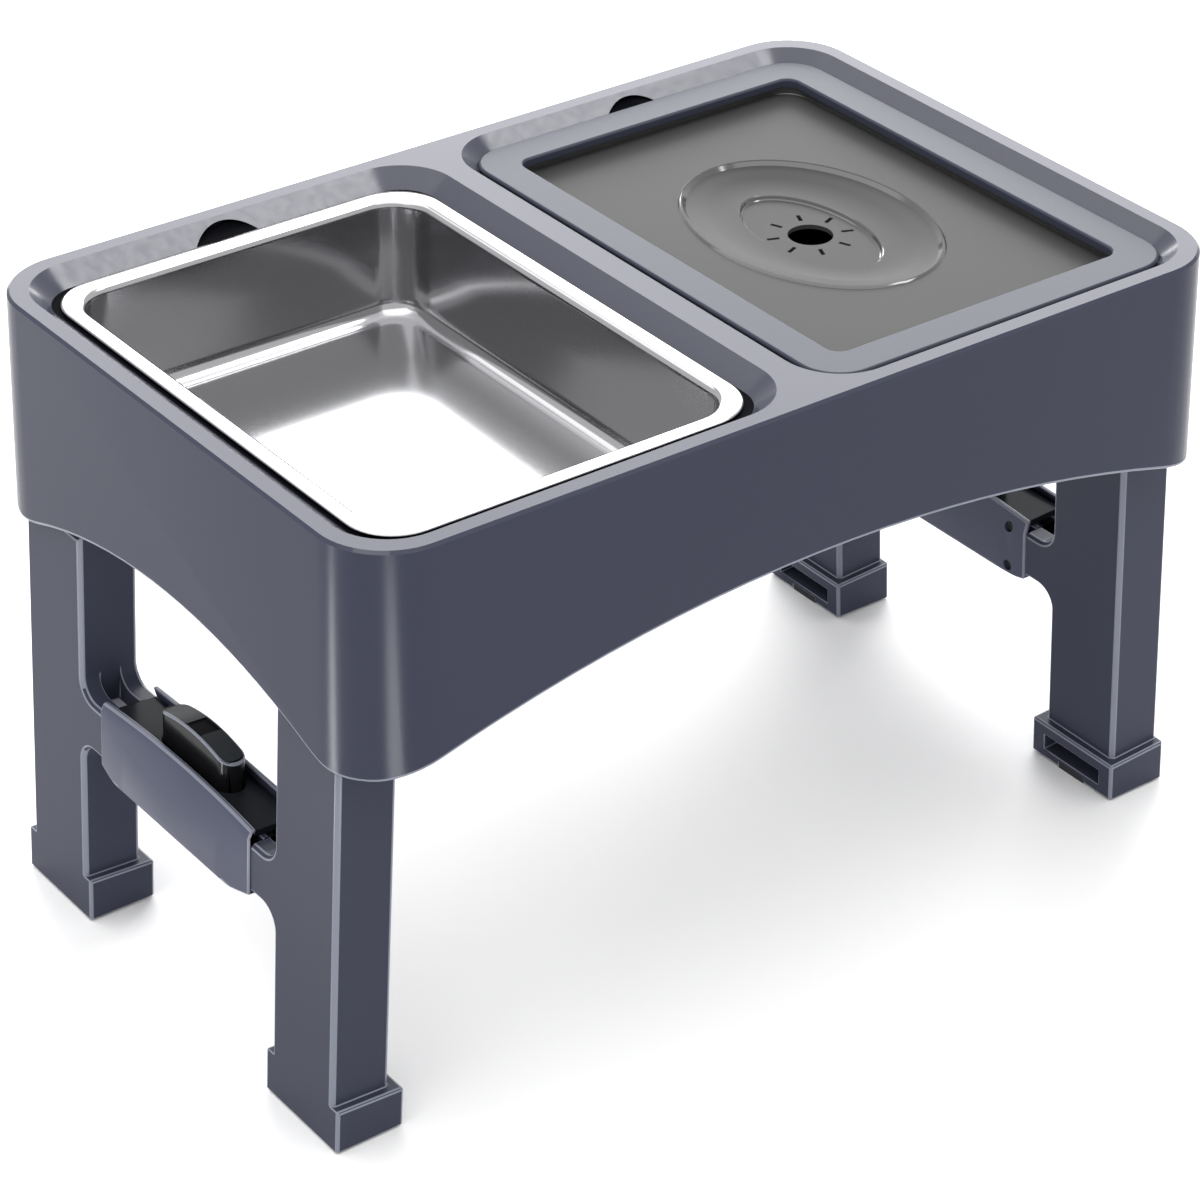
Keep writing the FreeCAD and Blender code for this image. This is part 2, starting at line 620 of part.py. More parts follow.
def half_frame():
    """Sleeve post and crossbar neck at the back of a leg, as one profile across the leg."""
    low_z = -leg_length - OVERRUN
    far_y = post_y + POST_WIDTH / 2
    start_y = grip_half_length + GRIP_END_GAP
    bend = NECK_FILLET * (1 - math.sqrt(2) / 2)
    upper = [V(-post_half, post_inner_y, neck_top + NECK_FILLET),
             V(-post_half, post_inner_y - bend, neck_top + bend),
             V(-post_half, post_inner_y - NECK_FILLET, neck_top)]
    lower = [V(-post_half, post_inner_y - NECK_FILLET, neck_bottom),
             V(-post_half, post_inner_y - bend, neck_bottom - bend),
             V(-post_half, post_inner_y, neck_bottom - NECK_FILLET)]
    chain = [lower[2], V(-post_half, post_inner_y, low_z), V(-post_half, far_y, low_z),
             V(-post_half, far_y, -SLEEVE_DROP), V(-post_half, post_inner_y, -SLEEVE_DROP), upper[0]]
    edges = [Part.makeLine(start, end) for start, end in zip(chain, chain[1:])]
    edges.append(Part.Arc(upper[0], upper[1], upper[2]).toShape())
    edges.append(Part.makeLine(upper[2], V(-post_half, start_y, neck_top)))
    edges.append(Part.makeLine(V(-post_half, start_y, neck_top), V(-post_half, start_y, neck_bottom)))
    edges.append(Part.makeLine(V(-post_half, start_y, neck_bottom), lower[0]))
    edges.append(Part.Arc(lower[0], lower[1], lower[2]).toShape())
    frame = Part.Face(Part.Wire(edges)).extrude(V(POST_DEPTH, 0, 0))
    rounded = []
    for edge in frame.Edges:
        middle = edge.valueAt((edge.FirstParameter + edge.LastParameter) / 2)
        points = [vertex.Point for vertex in edge.Vertexes]
        on_face = max(abs(abs(point.x) - post_half) for point in points + [middle]) < TOUCH
        flat = abs(points[0].x - points[1].x) < TOUCH
        if on_face and flat and middle.y > start_y + TOUCH and middle.z > low_z + TOUCH:
            rounded.append(edge)
    return frame.makeChamfer(POST_EDGE, rounded)


def foot_block():
    """Foot around the lower end of the back post."""
    low = V(-post_half - FOOT_STEP, post_y - POST_WIDTH / 2 - FOOT_STEP, -leg_length - OVERRUN)
    high = V(post_half, post_y + POST_WIDTH / 2 + FOOT_STEP, -leg_length + FOOT_HEIGHT)
    block = box(low, high)
    soft = []
    for edge in block.Edges:
        middle = edge.CenterOfMass
        upright = abs(middle.z - (low.z + high.z) / 2) < TOUCH
        if upright or (abs(middle.z - high.z) < TOUCH and middle.x < post_half - TOUCH):
            soft.append(edge)
    return block.makeChamfer(FOOT_EDGE, soft)


def pad_block(grow):
    """Pad of the back foot, or the recess around it."""
    centre_x = -FOOT_STEP / 2
    top = -leg_length + PAD_THICKNESS + grow
    low_z = -leg_length - OVERRUN
    body = box(V(centre_x - PAD_WIDTH / 2 - grow, post_y - PAD_LENGTH / 2 - grow, low_z),
               V(centre_x + PAD_WIDTH / 2 + grow, post_y + PAD_LENGTH / 2 + grow, top))
    tab_x = -post_half - FOOT_STEP + PAD_GAP - (OVERRUN if grow else 0)
    tab = box(V(tab_x, post_y - PAD_TAB_LENGTH / 2 - grow, low_z),
              V(centre_x, post_y + PAD_TAB_LENGTH / 2 + grow, top))
    return body.fuse(tab).removeSplitter()


def mirrored_y(shape):
    """Copy at the front of a leg."""
    return shape.mirror(V(0, 0, 0), Y_AXIS)


def crossbar_core():
    """Bar between the necks that the grip shells close around."""
    length = grip_half_length + GRIP_END_GAP + CORE_LAP
    half = CHANNEL_HALF + CORE_WALL
    low_z = channel_bottom - CORE_FLOOR
    bar = box(V(-half, -length, low_z), V(half, length, core_top))
    long_edges = [edge for edge in level_edges(bar, low_z, every_edge) if abs(edge.CenterOfMass.y) < TOUCH]
    bar = bar.makeChamfer(CORE_CHAMFER, long_edges)
    mid_half = CHANNEL_MID_HALF + CORE_WALL
    mid_length = CHANNEL_MID_LENGTH / 2 + CORE_WALL
    middle = box(V(-mid_half, -mid_length, bolt_top - CORE_FLOOR), V(mid_half, mid_length, core_top))
    return bar.fuse(middle)


def crossbar_cuts():
    """Bolt channel, button space and bolt holes."""
    high = neck_top + NECK_FILLET + OVERRUN
    mid_length = CHANNEL_MID_LENGTH / 2
    cuts = [box(V(-CHANNEL_HALF, -post_inner_y, channel_bottom), V(CHANNEL_HALF, post_inner_y, high))]
    cuts.append(box(V(-CHANNEL_MID_HALF, -mid_length, bolt_top), V(CHANNEL_MID_HALF, mid_length, high)))
    hole_y = post_y
    cuts.append(box(V(-CHANNEL_HALF, -hole_y, channel_bottom), V(CHANNEL_HALF, hole_y, bolt_top + BOLT_GAP)))
    return cuts


def leg_frame():
    """H-frame: two sleeves with feet, joined by the crossbar channel."""
    half = half_frame().fuse(foot_block())
    frame = half.fuse([mirrored_y(half), crossbar_core()])
    socket_x = post_half - POST_WALL
    socket_y = POST_WIDTH / 2 - POST_WALL
    socket = edged_block(V(-socket_x, post_y - socket_y, socket_bottom), V(socket_x, post_y + socket_y, 0))
    slot_x = -post_half - FOOT_STEP
    slot_z = -leg_length + FOOT_SLOT_LIFT
    slot = box(V(slot_x - OVERRUN, post_y - FOOT_SLOT_WIDTH / 2, slot_z),
               V(slot_x + FOOT_SLOT_DEPTH, post_y + FOOT_SLOT_WIDTH / 2, slot_z + FOOT_SLOT_HEIGHT))
    cuts = crossbar_cuts()
    for shape in (socket, slot, pad_block(PAD_GAP)):
        cuts.append(shape)
        cuts.append(mirrored_y(shape))
    return frame.cut(cuts).removeSplitter()


def below(z):
    """Everything under one height."""
    return box(V(-TABLE_LENGTH, -TABLE_WIDTH, z - TABLE_HEIGHT), V(TABLE_LENGTH, TABLE_WIDTH, z))


def grip_blank(belly, thinner, beyond):
    """Outer side of a grip before it is hollowed: a barrel in plan, arched above and below."""
    half = grip_half_length + beyond
    side_end = SHELL_SIDE_END - thinner
    side = side_end + belly
    rise = SHELL_TOP_RISE_MID + beyond
    bottom = bar_z - SHELL_BOTTOM_DROP_MID + thinner
    low_z = bottom - OVERRUN
    corners = [V(side_end, half, low_z), V(0, half, low_z), V(0, -half, low_z), V(side_end, -half, low_z)]
    edges = [Part.makeLine(start, end) for start, end in zip(corners, corners[1:])]
    edges.append(Part.Arc(corners[3], V(side, 0, low_z), corners[0]).toShape())
    blank = prism(Part.Wire(edges), bar_z + rise - low_z)
    far = half + OVERRUN
    low = [V(0, -far, bar_z - SHELL_BOTTOM_DROP_END + thinner), V(0, 0, bottom),
           V(0, far, bar_z - SHELL_BOTTOM_DROP_END + thinner)]
    high = [V(0, far, bar_z + SHELL_TOP_RISE_END + beyond), V(0, 0, bar_z + rise),
            V(0, -far, bar_z + SHELL_TOP_RISE_END + beyond)]
    outline = Part.Wire([Part.Arc(*low).toShape(), Part.makeLine(low[2], high[0]), Part.Arc(*high).toShape(),
                         Part.makeLine(high[2], low[0])])
    blank = blank.common(Part.Face(outline).extrude(V(POST_DEPTH, 0, 0)))
    return blank.cut([through(grip_lean(side, thinner, rise), Y_AXIS, TABLE_WIDTH),
                      through(grip_round(side, thinner, bottom), Y_AXIS, TABLE_WIDTH)])


def grip_lean(side, thinner, rise):
    """Space outside the grip's leaning upper side."""
    top = SHELL_TOP_X - thinner
    high = bar_z + rise + OVERRUN
    corners = [V(side, 0, bar_z + SHELL_LEAN_START), V(top, 0, bar_z + SHELL_TOP_RISE_MID), V(top, 0, high),
               V(side + POST_DEPTH, 0, high)]
    return Part.Face(Part.makePolygon(corners + corners[:1]))


def grip_round(side, thinner, bottom):
    """Space outside the grip's round lower corner."""
    radius = SHELL_ROUND - thinner
    centre = V(side - radius, 0, bottom + radius - SHELL_ROUND_DIP)
    diagonal = radius * math.sqrt(2) / 2
    start = centre + V(0, 0, -radius)
    end = centre + V(radius, 0, 0)
    outside = end.x + OVERRUN
    low_z = start.z - OVERRUN
    corners = [end, V(outside, 0, end.z), V(outside, 0, low_z), V(start.x, 0, low_z), start]
    edges = [Part.makeLine(first, second) for first, second in zip(corners, corners[1:])]
    edges.append(Part.Arc(start, centre + V(diagonal, 0, -diagonal), end).toShape())
    return Part.Face(Part.Wire(edges))


def grip_shell(belly):
    """Half shell of the hand grip, on the outer side."""
    shell = grip_blank(belly, 0, 0).cut(grip_blank(belly, SHELL_WALL, OVERRUN))
    parting = box(V(-OVERRUN, -TABLE_WIDTH, bar_z - TABLE_HEIGHT), V(SHELL_PARTING_GAP, TABLE_WIDTH, 0))
    return shell.cut(parting).removeSplitter()


def stadium(grow, low_z, high_z):
    """Long block with round ends, for the button and its slot."""
    half_x = BUTTON_HALF_WIDTH + grow
    return rounded_block(half_x, BUTTON_HALF_LENGTH + grow, half_x - TOUCH, low_z, high_z)


def grip_deck():
    """Glossy plate on the crossbar, around the button."""
    half_x = SHELL_TOP_X - SHELL_WALL - DECK_SIDE_GAP
    deck = box(V(-half_x, -deck_half_length, core_top), V(half_x, deck_half_length, deck_top))
    return deck.cut(stadium(BUTTON_GAP, core_top - OVERRUN, deck_top + OVERRUN))


tab_top = core_top - BUTTON_GAP
tab_bottom = tab_top - TAB_THICKNESS


def push_button():
    """Arched button with end tabs and two wedge prongs that draw the bolts in."""
    crown = deck_top + BUTTON_RISE
    radius = (BUTTON_HALF_LENGTH ** 2 + BUTTON_CROWN ** 2) / (BUTTON_CROWN + BUTTON_CROWN)
    start = V(-BUTTON_HALF_WIDTH - OVERRUN, 0, crown - radius)
    length = BUTTON_HALF_WIDTH + BUTTON_HALF_WIDTH + OVERRUN + OVERRUN
    cap = stadium(0, tab_bottom, crown).common(Part.makeCylinder(radius, length, start, X_AXIS))
    inset_x = BUTTON_HALF_WIDTH - BUTTON_INSET_MARGIN
    inset = box(V(-inset_x, -BUTTON_INSET_HALF, crown - BUTTON_CROWN),
                V(inset_x, BUTTON_INSET_HALF, crown + OVERRUN))
    inset = inset.cut(Part.makeCylinder(radius - BUTTON_INSET_DEPTH, length, start, X_AXIS))
    tab_y = BUTTON_HALF_LENGTH + TAB_REACH
    tabs = box(V(-TAB_HALF_WIDTH, -tab_y, tab_bottom), V(TAB_HALF_WIDTH, tab_y, tab_top))
    ramp = RAMP_START + bolt_top + RAMP_GAP * math.sqrt(2)
    tip_z = bolt_top - PRONG_TIP_DIP
    corners = [(ramp - tab_top, tab_top), (ramp - tip_z, tip_z),
               (PRONG_OUTER, tip_z), (PRONG_OUTER, tab_top)]
    prongs = [across(corners, row, PRONG_HALF) for row in ROWS.values()]
    return cap.cut(inset).fuse([tabs] + prongs).removeSplitter()


def across(corners, row, half):
    """Prism across a leg from corners given along and up it."""
    points = [V(-half, row * along, up) for along, up in corners]
    return Part.Face(Part.makePolygon(points + points[:1])).extrude(V(half + half, 0, 0))


def latch_bolt(row):
    """Bolt with a ramped slot for the button's prong and a peg for the spring."""
    ends = sorted([row * BOLT_INNER_END, row * bolt_tip_y])
    bolt = box(V(-bolt_half, ends[0], bolt_bottom), V(bolt_half, ends[1], bolt_top))
    high = bolt_top + OVERRUN
    low = bolt_bottom - OVERRUN
    ramp = RAMP_START + bolt_top
    slot_end = PRONG_OUTER + BUTTON_TRAVEL + PRONG_SLOT_GAP
    ramp_end = min(ramp - low, slot_end - TOUCH)
    corners = [(ramp - high, high), (ramp_end, low), (slot_end, low), (slot_end, high)]
    slot = across(corners, row, PRONG_HALF + BOLT_GAP)
    peg_start = V(0, row * BOLT_INNER_END, bolt_mid)
    peg = Part.makeCylinder(PEG_RADIUS, PEG_LENGTH, peg_start, Y_AXIS * -row)
    return bolt.cut(slot).fuse(peg).removeSplitter()


def latch_spring():
    """Spring between the two bolts of a leg, kept as its plain sleeve."""
    half = BOLT_INNER_END - SPRING_END_GAP
    start = V(0, -half, bolt_mid)
    sleeve = Part.makeCylinder(SPRING_RADIUS, half + half, start, Y_AXIS)
    return sleeve.cut(Part.makeCylinder(SPRING_RADIUS - SPRING_WALL, half + half, start, Y_AXIS))


os.makedirs("parts", exist_ok=True)
pieces = {
    "table_body": table_body(),
    "food_bowl": turned(food_bowl()),
    "water_bowl": water_bowl(),
    "splash_cover": splash_cover(),
    "float_plate": float_plate(),
}
single = {
    "leg_frame": leg_frame(),
    "grip_outer": grip_shell(OUTER_BELLY),
    "grip_inner": grip_shell(INNER_BELLY).mirror(V(0, 0, 0), X_AXIS),
    "grip_deck": grip_deck(),
    "push_button": push_button(),
    "latch_spring": latch_spring(),
}
paired = {"inner_post": inner_post, "hinge_pin": hinge_pin, "latch_bolt": latch_bolt}
pad = pad_block(0)
pads = {"front": mirrored_y(pad), "back": pad}
for side, side_sign in SIDES.items():
    for name, shape in single.items():
        pieces[f"{side}_{name}"] = placed(shape, side)
    frame = f"{side}_leg_frame"
    pieces[frame] = pieces[frame].cut(below(PAD_PROUD))
    for row, row_sign in ROWS.items():
        for name, make in paired.items():
            pieces[f"{side}_{name}_{row}"] = placed(make(row_sign * side_sign), side)
        own_row = row if side_sign > 0 else ("front" if row == "back" else "back")
        pieces[f"{side}_foot_pad_{row}"] = placed(pads[own_row], side).cut(below(0))

for name, shape in pieces.items():
    shape.exportStep(f"parts/{name}.step")
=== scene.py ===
import json
import math

import bmesh
import bpy
from mathutils import Matrix, Vector

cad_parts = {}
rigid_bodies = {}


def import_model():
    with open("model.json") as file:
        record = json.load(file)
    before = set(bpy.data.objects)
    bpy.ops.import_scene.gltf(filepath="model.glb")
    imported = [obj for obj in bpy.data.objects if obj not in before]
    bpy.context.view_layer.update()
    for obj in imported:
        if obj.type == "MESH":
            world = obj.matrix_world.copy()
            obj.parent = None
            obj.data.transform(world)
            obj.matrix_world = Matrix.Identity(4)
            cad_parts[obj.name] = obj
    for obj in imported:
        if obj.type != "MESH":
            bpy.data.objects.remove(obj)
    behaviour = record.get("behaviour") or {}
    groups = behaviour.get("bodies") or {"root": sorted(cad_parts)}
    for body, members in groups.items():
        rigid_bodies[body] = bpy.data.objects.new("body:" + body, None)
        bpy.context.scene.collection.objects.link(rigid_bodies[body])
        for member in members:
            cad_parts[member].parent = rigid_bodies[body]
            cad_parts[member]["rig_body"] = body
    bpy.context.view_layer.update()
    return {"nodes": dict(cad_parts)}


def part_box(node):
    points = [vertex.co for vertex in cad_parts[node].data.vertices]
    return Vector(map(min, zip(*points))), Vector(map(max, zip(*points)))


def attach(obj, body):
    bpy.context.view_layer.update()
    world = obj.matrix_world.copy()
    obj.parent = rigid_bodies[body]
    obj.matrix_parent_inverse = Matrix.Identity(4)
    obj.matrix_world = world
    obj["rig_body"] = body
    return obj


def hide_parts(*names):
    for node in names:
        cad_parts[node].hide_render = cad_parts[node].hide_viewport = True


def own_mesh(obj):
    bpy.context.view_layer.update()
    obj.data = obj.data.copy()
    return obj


bl_info = {
    "name": "Raised pet feeder",
    "version": (1, 0, 0),
    "blender": (4, 5, 0),
    "location": "View3D > Sidebar > Feeder",
    "description": "Dresses a raised feeder with two bowls and folding legs",
    "category": "Object",
}

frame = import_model()
SIDES = {"left": -1, "right": 1}
ROWS = ("front", "back")

# Points nearer than WELD are one, facets flatter than FLAT are one face, edges past CREASE stay sharp
WELD = 0.00001
FLAT = math.radians(0.4)
CREASE = math.radians(32)

# Slots of a piece's finishes: its second one, and none that is chosen
SECOND = 1
NO_SLOT = -1

# Middles of the table's round corners, their radius at its top, and how its skirt spreads downwards
CORNER_X = 0.184
CORNER_Y = 0.110
CORNER_RADIUS = 0.031
SKIRT_FLARE = math.radians(1.6)

# Slope of a well at the table's back: its drop to the ledge, its run, and where its foot lies
SLOPE_DROP = 0.0075
SLOPE_RUN = 0.0085
SLOPE_FOOT = 0.1245

# The legs lean by this much, and their own frame starts at the hinge line
LEAN = math.radians(3.15)
HINGE = Vector((0.1995509, 0, 0.197))

# Screws of a hand grip in the leg's frame: the inner shell's face, the grip's middle, the rows about it
INNER_FACE = -0.0152
GRIP_LEVEL = -0.09765
SCREWS_ACROSS = (-0.047, 0.047)
SCREWS_UP = (0.0105, -0.0098)


def leg_point(side, along, across, up):
    """Point of a leg given outwards, along the table's depth and up the leg, from its hinge."""
    turn = SIDES[side]
    x = HINGE.x + math.cos(LEAN) * along - math.sin(LEAN) * up
    z = HINGE.z + math.sin(LEAN) * along + math.cos(LEAN) * up
    return Vector((turn * x, turn * across, z))


# Settings


def length(name, description, default):
    """Setting for a size."""
    return bpy.props.FloatProperty(name=name, description=description, default=default, unit="LENGTH")


def tint(name, description, default):
    """Setting for a colour."""
    return bpy.props.FloatVectorProperty(
        name=name, description=description, size=3, subtype="COLOR", default=default)


class FeederSizes(bpy.types.PropertyGroup):
    """Sizes of the pieces and edges that are shaped here."""

    table_edge: length("Table edge", "Softness of the table's lower edge", 0.0018)
    leg_edge: length("Leg edge", "Softness of the leg frames' edges", 0.00045)
    trim_edge: length("Trim edge", "Softness of the basin, cover and deck edges", 0.0004)
    grip_edge: length("Grip edge", "Softness of the hand grips' edges", 0.0009)
    button_edge: length("Button edge", "Softness of the buttons' edges", 0.0009)
    bowl_lip: length("Bowl lip", "Radius of the steel bowl's lip", 0.0037)
    bowl_heel: length("Bowl heel", "Radius between the steel bowl's wall and floor", 0.0075)
    steel_gauge: length("Steel gauge", "Thickness of the steel sheet", 0.001)
    screw_head: length("Screw head", "Radius of the grip screws' heads", 0.0021)
    screw_hole: length("Screw hole", "Radius of the holes over the grip screws", 0.0025)
    spring_wire: length("Spring wire", "Radius of the latch springs' wire", 0.0003)


class FeederColours(bpy.types.PropertyGroup):
    """Colours of the finishes."""

    table: tint("Table", "Grey of the table and legs", (0.039, 0.042, 0.066))
    grip: tint("Grip", "Grey of the hand grips", (0.057, 0.062, 0.100))
    cover: tint("Cover", "Grey of the splash cover", (0.039, 0.043, 0.064))
    # The edge grey is a painted highlight: pale grey on rounds and chamfers in place of light catching them.
    edge: tint("Edges", "Pale grey of the polished edges", (0.2, 0.212, 0.26))
    plate: tint("Floating plate", "Grey of the floating plate", (0.05, 0.05, 0.05))
    basin: tint("Basin", "Grey of the water basin", (0.07, 0.072, 0.085))
    deck: tint("Deck", "Dark grey around the buttons", (0.013, 0.0145, 0.018))
    # The button-top grey is a painted reflection: lighter than the buttons' black in place of gloss on their
    # tops.
    painted_reflection_button_top: tint("Button top", "Dark grey of the buttons' tops", (0.03, 0.033, 0.036))
    button: tint("Button", "Black of the buttons", (0.008, 0.008, 0.009))
    bolt: tint("Bolt", "Pale grey of the latch bolts", (0.4, 0.42, 0.46))
    post: tint("Post", "Dark grey of the inner posts", (0.06, 0.062, 0.08))
    steel: tint("Steel", "Polished bowl steel", (0.4, 0.4, 0.41))
    hardware: tint("Hardware", "Steel of pins, springs and screws", (0.45, 0.45, 0.46))
    rubber: tint("Rubber", "Black of the foot pads", (0.018, 0.018, 0.02))
    floor: tint("Floor", "Pale studio floor", (0.93, 0.93, 0.93))


# Finishes

# Slow noise for the tone, detail of the fine noise, and the part of it that the gloss follows
TONE_SCALE = 14.0
TONE_DETAIL = 3.0
GRAIN_DETAIL = 2.0
GRAIN_LOW = 0.3
GRAIN_HIGH = 0.7
RELIEF_STRENGTH = 0.25
COAT_ROUGHNESS = 0.12


def noise_node(tree, coords, scale, detail, stretch=None):
    """Noise on the object's own place, in metres, drawn out along an axis where asked."""
    source = coords.outputs["Object"]
    if stretch:
        mapping = tree.nodes.new("ShaderNodeMapping")
        mapping.inputs["Scale"].default_value = stretch
        tree.links.new(source, mapping.inputs["Vector"])
        source = mapping.outputs["Vector"]
    noise = tree.nodes.new("ShaderNodeTexNoise")
    noise.inputs["Scale"].default_value = scale
    noise.inputs["Detail"].default_value = detail
    tree.links.new(source, noise.inputs["Vector"])
    return noise


def surface(name, colour, rough, rough_spread, tone_spread, grain, grain_depth, metal=0.0, coat=0.0,
            stretch=None, specular=0.5):
    """Material whose tone, gloss and fine relief vary over the surface."""
    material = bpy.data.materials.new(name)
    material.use_nodes = True
    tree = material.node_tree
    shader = tree.nodes["Principled BSDF"]
    shader.inputs["Metallic"].default_value = metal
    shader.inputs["Specular IOR Level"].default_value = specular
    if coat:
        shader.inputs["Coat Weight"].default_value = coat
        shader.inputs["Coat Roughness"].default_value = COAT_ROUGHNESS
    coords = tree.nodes.new("ShaderNodeTexCoord")
    broad = noise_node(tree, coords, TONE_SCALE, TONE_DETAIL)
    fine = noise_node(tree, coords, grain, GRAIN_DETAIL, stretch)
    tones = tree.nodes.new("ShaderNodeMix")
    tones.data_type = "RGBA"
    tones.inputs["A"].default_value = (*[c * (1 - tone_spread) for c in colour], 1)
    tones.inputs["B"].default_value = (*[c * (1 + tone_spread) for c in colour], 1)
    tree.links.new(broad.outputs["Fac"], tones.inputs["Factor"])
    tree.links.new(tones.outputs["Result"], shader.inputs["Base Color"])
    gloss = tree.nodes.new("ShaderNodeMapRange")
    gloss.inputs["From Min"].default_value = GRAIN_LOW
    gloss.inputs["From Max"].default_value = GRAIN_HIGH
    gloss.inputs["To Min"].default_value = rough - rough_spread
    gloss.inputs["To Max"].default_value = rough + rough_spread
    tree.links.new(fine.outputs["Fac"], gloss.inputs["Value"])
    tree.links.new(gloss.outputs["Result"], shader.inputs["Roughness"])
    relief = tree.nodes.new("ShaderNodeBump")
    relief.inputs["Strength"].default_value = RELIEF_STRENGTH
    relief.inputs["Distance"].default_value = grain_depth
    tree.links.new(fine.outputs["Fac"], relief.inputs["Height"])
    tree.links.new(relief.outputs["Normal"], shader.inputs["Normal"])
    return material


def moulded(name, colour, rough, specular=0.17):
    """Satin moulded plastic with a fine spark-eroded grain."""
    return surface(name, colour, rough, rough_spread=0.015, tone_spread=0.03, grain=1400.0,
                   grain_depth=0.000004, specular=specular)


def polished_plastic(name, colour, rough, coat):
    """Smooth plastic with a clear gloss."""
    return surface(name, colour, rough, rough_spread=0.03, tone_spread=0.03, grain=260.0,
                   grain_depth=0.00002, coat=coat)


def bright_steel(name, colour, rough, stretch):
    """Steel with fine drawn lines."""
    return surface(name, colour, rough, rough_spread=0.015, tone_spread=0.02, grain=900.0,
                   grain_depth=0.0000006, metal=1.0, stretch=stretch)


def rubbery(name, colour, rough):
    """Matt rubber with a fine grain."""
    return surface(name, colour, rough, rough_spread=0.06, tone_spread=0.08, grain=1100.0,
                   grain_depth=0.00012)


def floor_paint(name, colour, rough):
    """Plain matt paint of the studio floor."""
    return surface(name, colour, rough, rough_spread=0.02, tone_spread=0.004, grain=60.0,
                   grain_depth=0.00001)


def darker(colour, share):
    """Colour with only a share of its light."""
    return [c * share for c in colour]


# Shapes


def shown(name, mesh, material, body):
    """Object for a finished mesh, riding on a body."""
    piece = bpy.data.objects.new(name, mesh)
    bpy.context.scene.collection.objects.link(piece)
    mesh.materials.clear()
    mesh.materials.append(material)
    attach(piece, body)
    return piece


def from_bmesh(name, bm, material, body):
    """Object for a new bmesh, shaded smooth, riding on a body."""
    mesh = bpy.data.meshes.new(name)
    for face in bm.faces:
        face.smooth = True
    bm.to_mesh(mesh)
    bm.free()
    return shown(name, mesh, material, body)


def merged_copy(node):
    """Copy of a CAD node's mesh with its triangles joined into whole faces."""
    mesh = frame["nodes"][node].data.copy()
    if "custom_normal" in mesh.attributes:
        mesh.attributes.remove(mesh.attributes["custom_normal"])
    bm = bmesh.new()
    bm.from_mesh(mesh)
    bmesh.ops.remove_doubles(bm, verts=bm.verts, dist=WELD)
    bmesh.ops.dissolve_limit(bm, angle_limit=FLAT, verts=bm.verts, edges=bm.edges)
    for face in bm.faces:
        face.smooth = True
    for edge in bm.edges:
        edge.smooth = len(edge.link_faces) == 2 and edge.calc_face_angle(0) < CREASE
    bm.to_mesh(mesh)
    bm.free()
    return mesh


def soften(piece, width, segments, edge_slot):
    """Round the edges of a piece, the rounds in a slot of their own where one is given: a pale painted
    highlight.
    """
    bevel = piece.modifiers.new("soft_edges", "BEVEL")
    bevel.width = width
    bevel.segments = segments
    bevel.material = edge_slot
    bevel.limit_method = "ANGLE"
    bevel.angle_limit = CREASE
    bevel.use_clamp_overlap = False
    bevel.harden_normals = True
    bevel.miter_outer = "MITER_ARC"


def weigh_edges(piece, share_of):
    """Give each sharp edge of a piece its share of the softness, from its middle."""
    mesh = piece.data
    shares = mesh.attributes.new("bevel_weight_edge", "FLOAT", "EDGE")
    for edge in mesh.edges:
        if edge.use_edge_sharp:
            start, end = (mesh.vertices[index].co for index in edge.vertices)
            shares.data[edge.index].value = share_of((start + end) / 2)
    piece.modifiers["soft_edges"].limit_method = "WEIGHT"


def dress(node, material, width, segments, edge=None):
    """Soft-edged copy that stands for a CAD node, its rounded edges in a pale painted highlight if one is
    given.
    """
    piece = shown(node + "_soft", merged_copy(node), material, frame["nodes"][node]["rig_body"])
    if edge:
        piece.data.materials.append(edge)
    soften(piece, width, segments, SECOND if edge else NO_SLOT)
    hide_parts(node)
    return piece


def paint(node, material):
    """Give a CAD node its finish."""
    mesh = frame["nodes"][node].data
    mesh.materials.clear()
    mesh.materials.append(material)


def verts_of(made):
    """New points that an operator reports."""
    return [part for part in made["geom"] if isinstance(part, bmesh.types.BMVert)]


def round_plate(bm, half_x, half_y, radius, centre, segments):
    """Level face with round corners."""
    made = bmesh.ops.create_grid(bm, x_segments=1, y_segments=1, size=1.0)
    bmesh.ops.scale(bm, vec=(half_x, half_y, 1), verts=made["verts"])
    bmesh.ops.translate(bm, vec=centre, verts=made["verts"])
    face = made["verts"][0].link_faces[0]
    corners = list(face.verts)
    cut = bmesh.ops.bevel(bm, geom=corners, offset=radius, offset_type="OFFSET", affect="VERTICES",
                          segments=segments, profile=0.5, material=NO_SLOT)
    return max(cut["faces"] + list(cut["verts"][0].link_faces), key=lambda found: found.calc_area())


def step_in(bm, face, inset, rise):
    """Next ring of a dished form: inwards by one distance and up by another."""
    bmesh.ops.inset_individual(bm, faces=[face], thickness=inset, depth=rise, use_even_offset=True)


def grow_loop(bm, edges, reach, grow, rise, centre):
    """Next ring outwards from a loop of edges whose half sizes are in reach, which follows."""
    made = bmesh.ops.extrude_edge_only(bm, edges=edges)
    verts = verts_of(made)
    wider = ((reach.x + grow) / reach.x, (reach.y + grow) / reach.y, 1)
    bmesh.ops.scale(bm, vec=wider, verts=verts, space=Matrix.Translation(-centre))
    bmesh.ops.translate(bm, vec=(0, 0, rise), verts=verts)
    reach.x += grow
    reach.y += grow
    return [part for part in made["geom"] if isinstance(part, bmesh.types.BMEdge)]


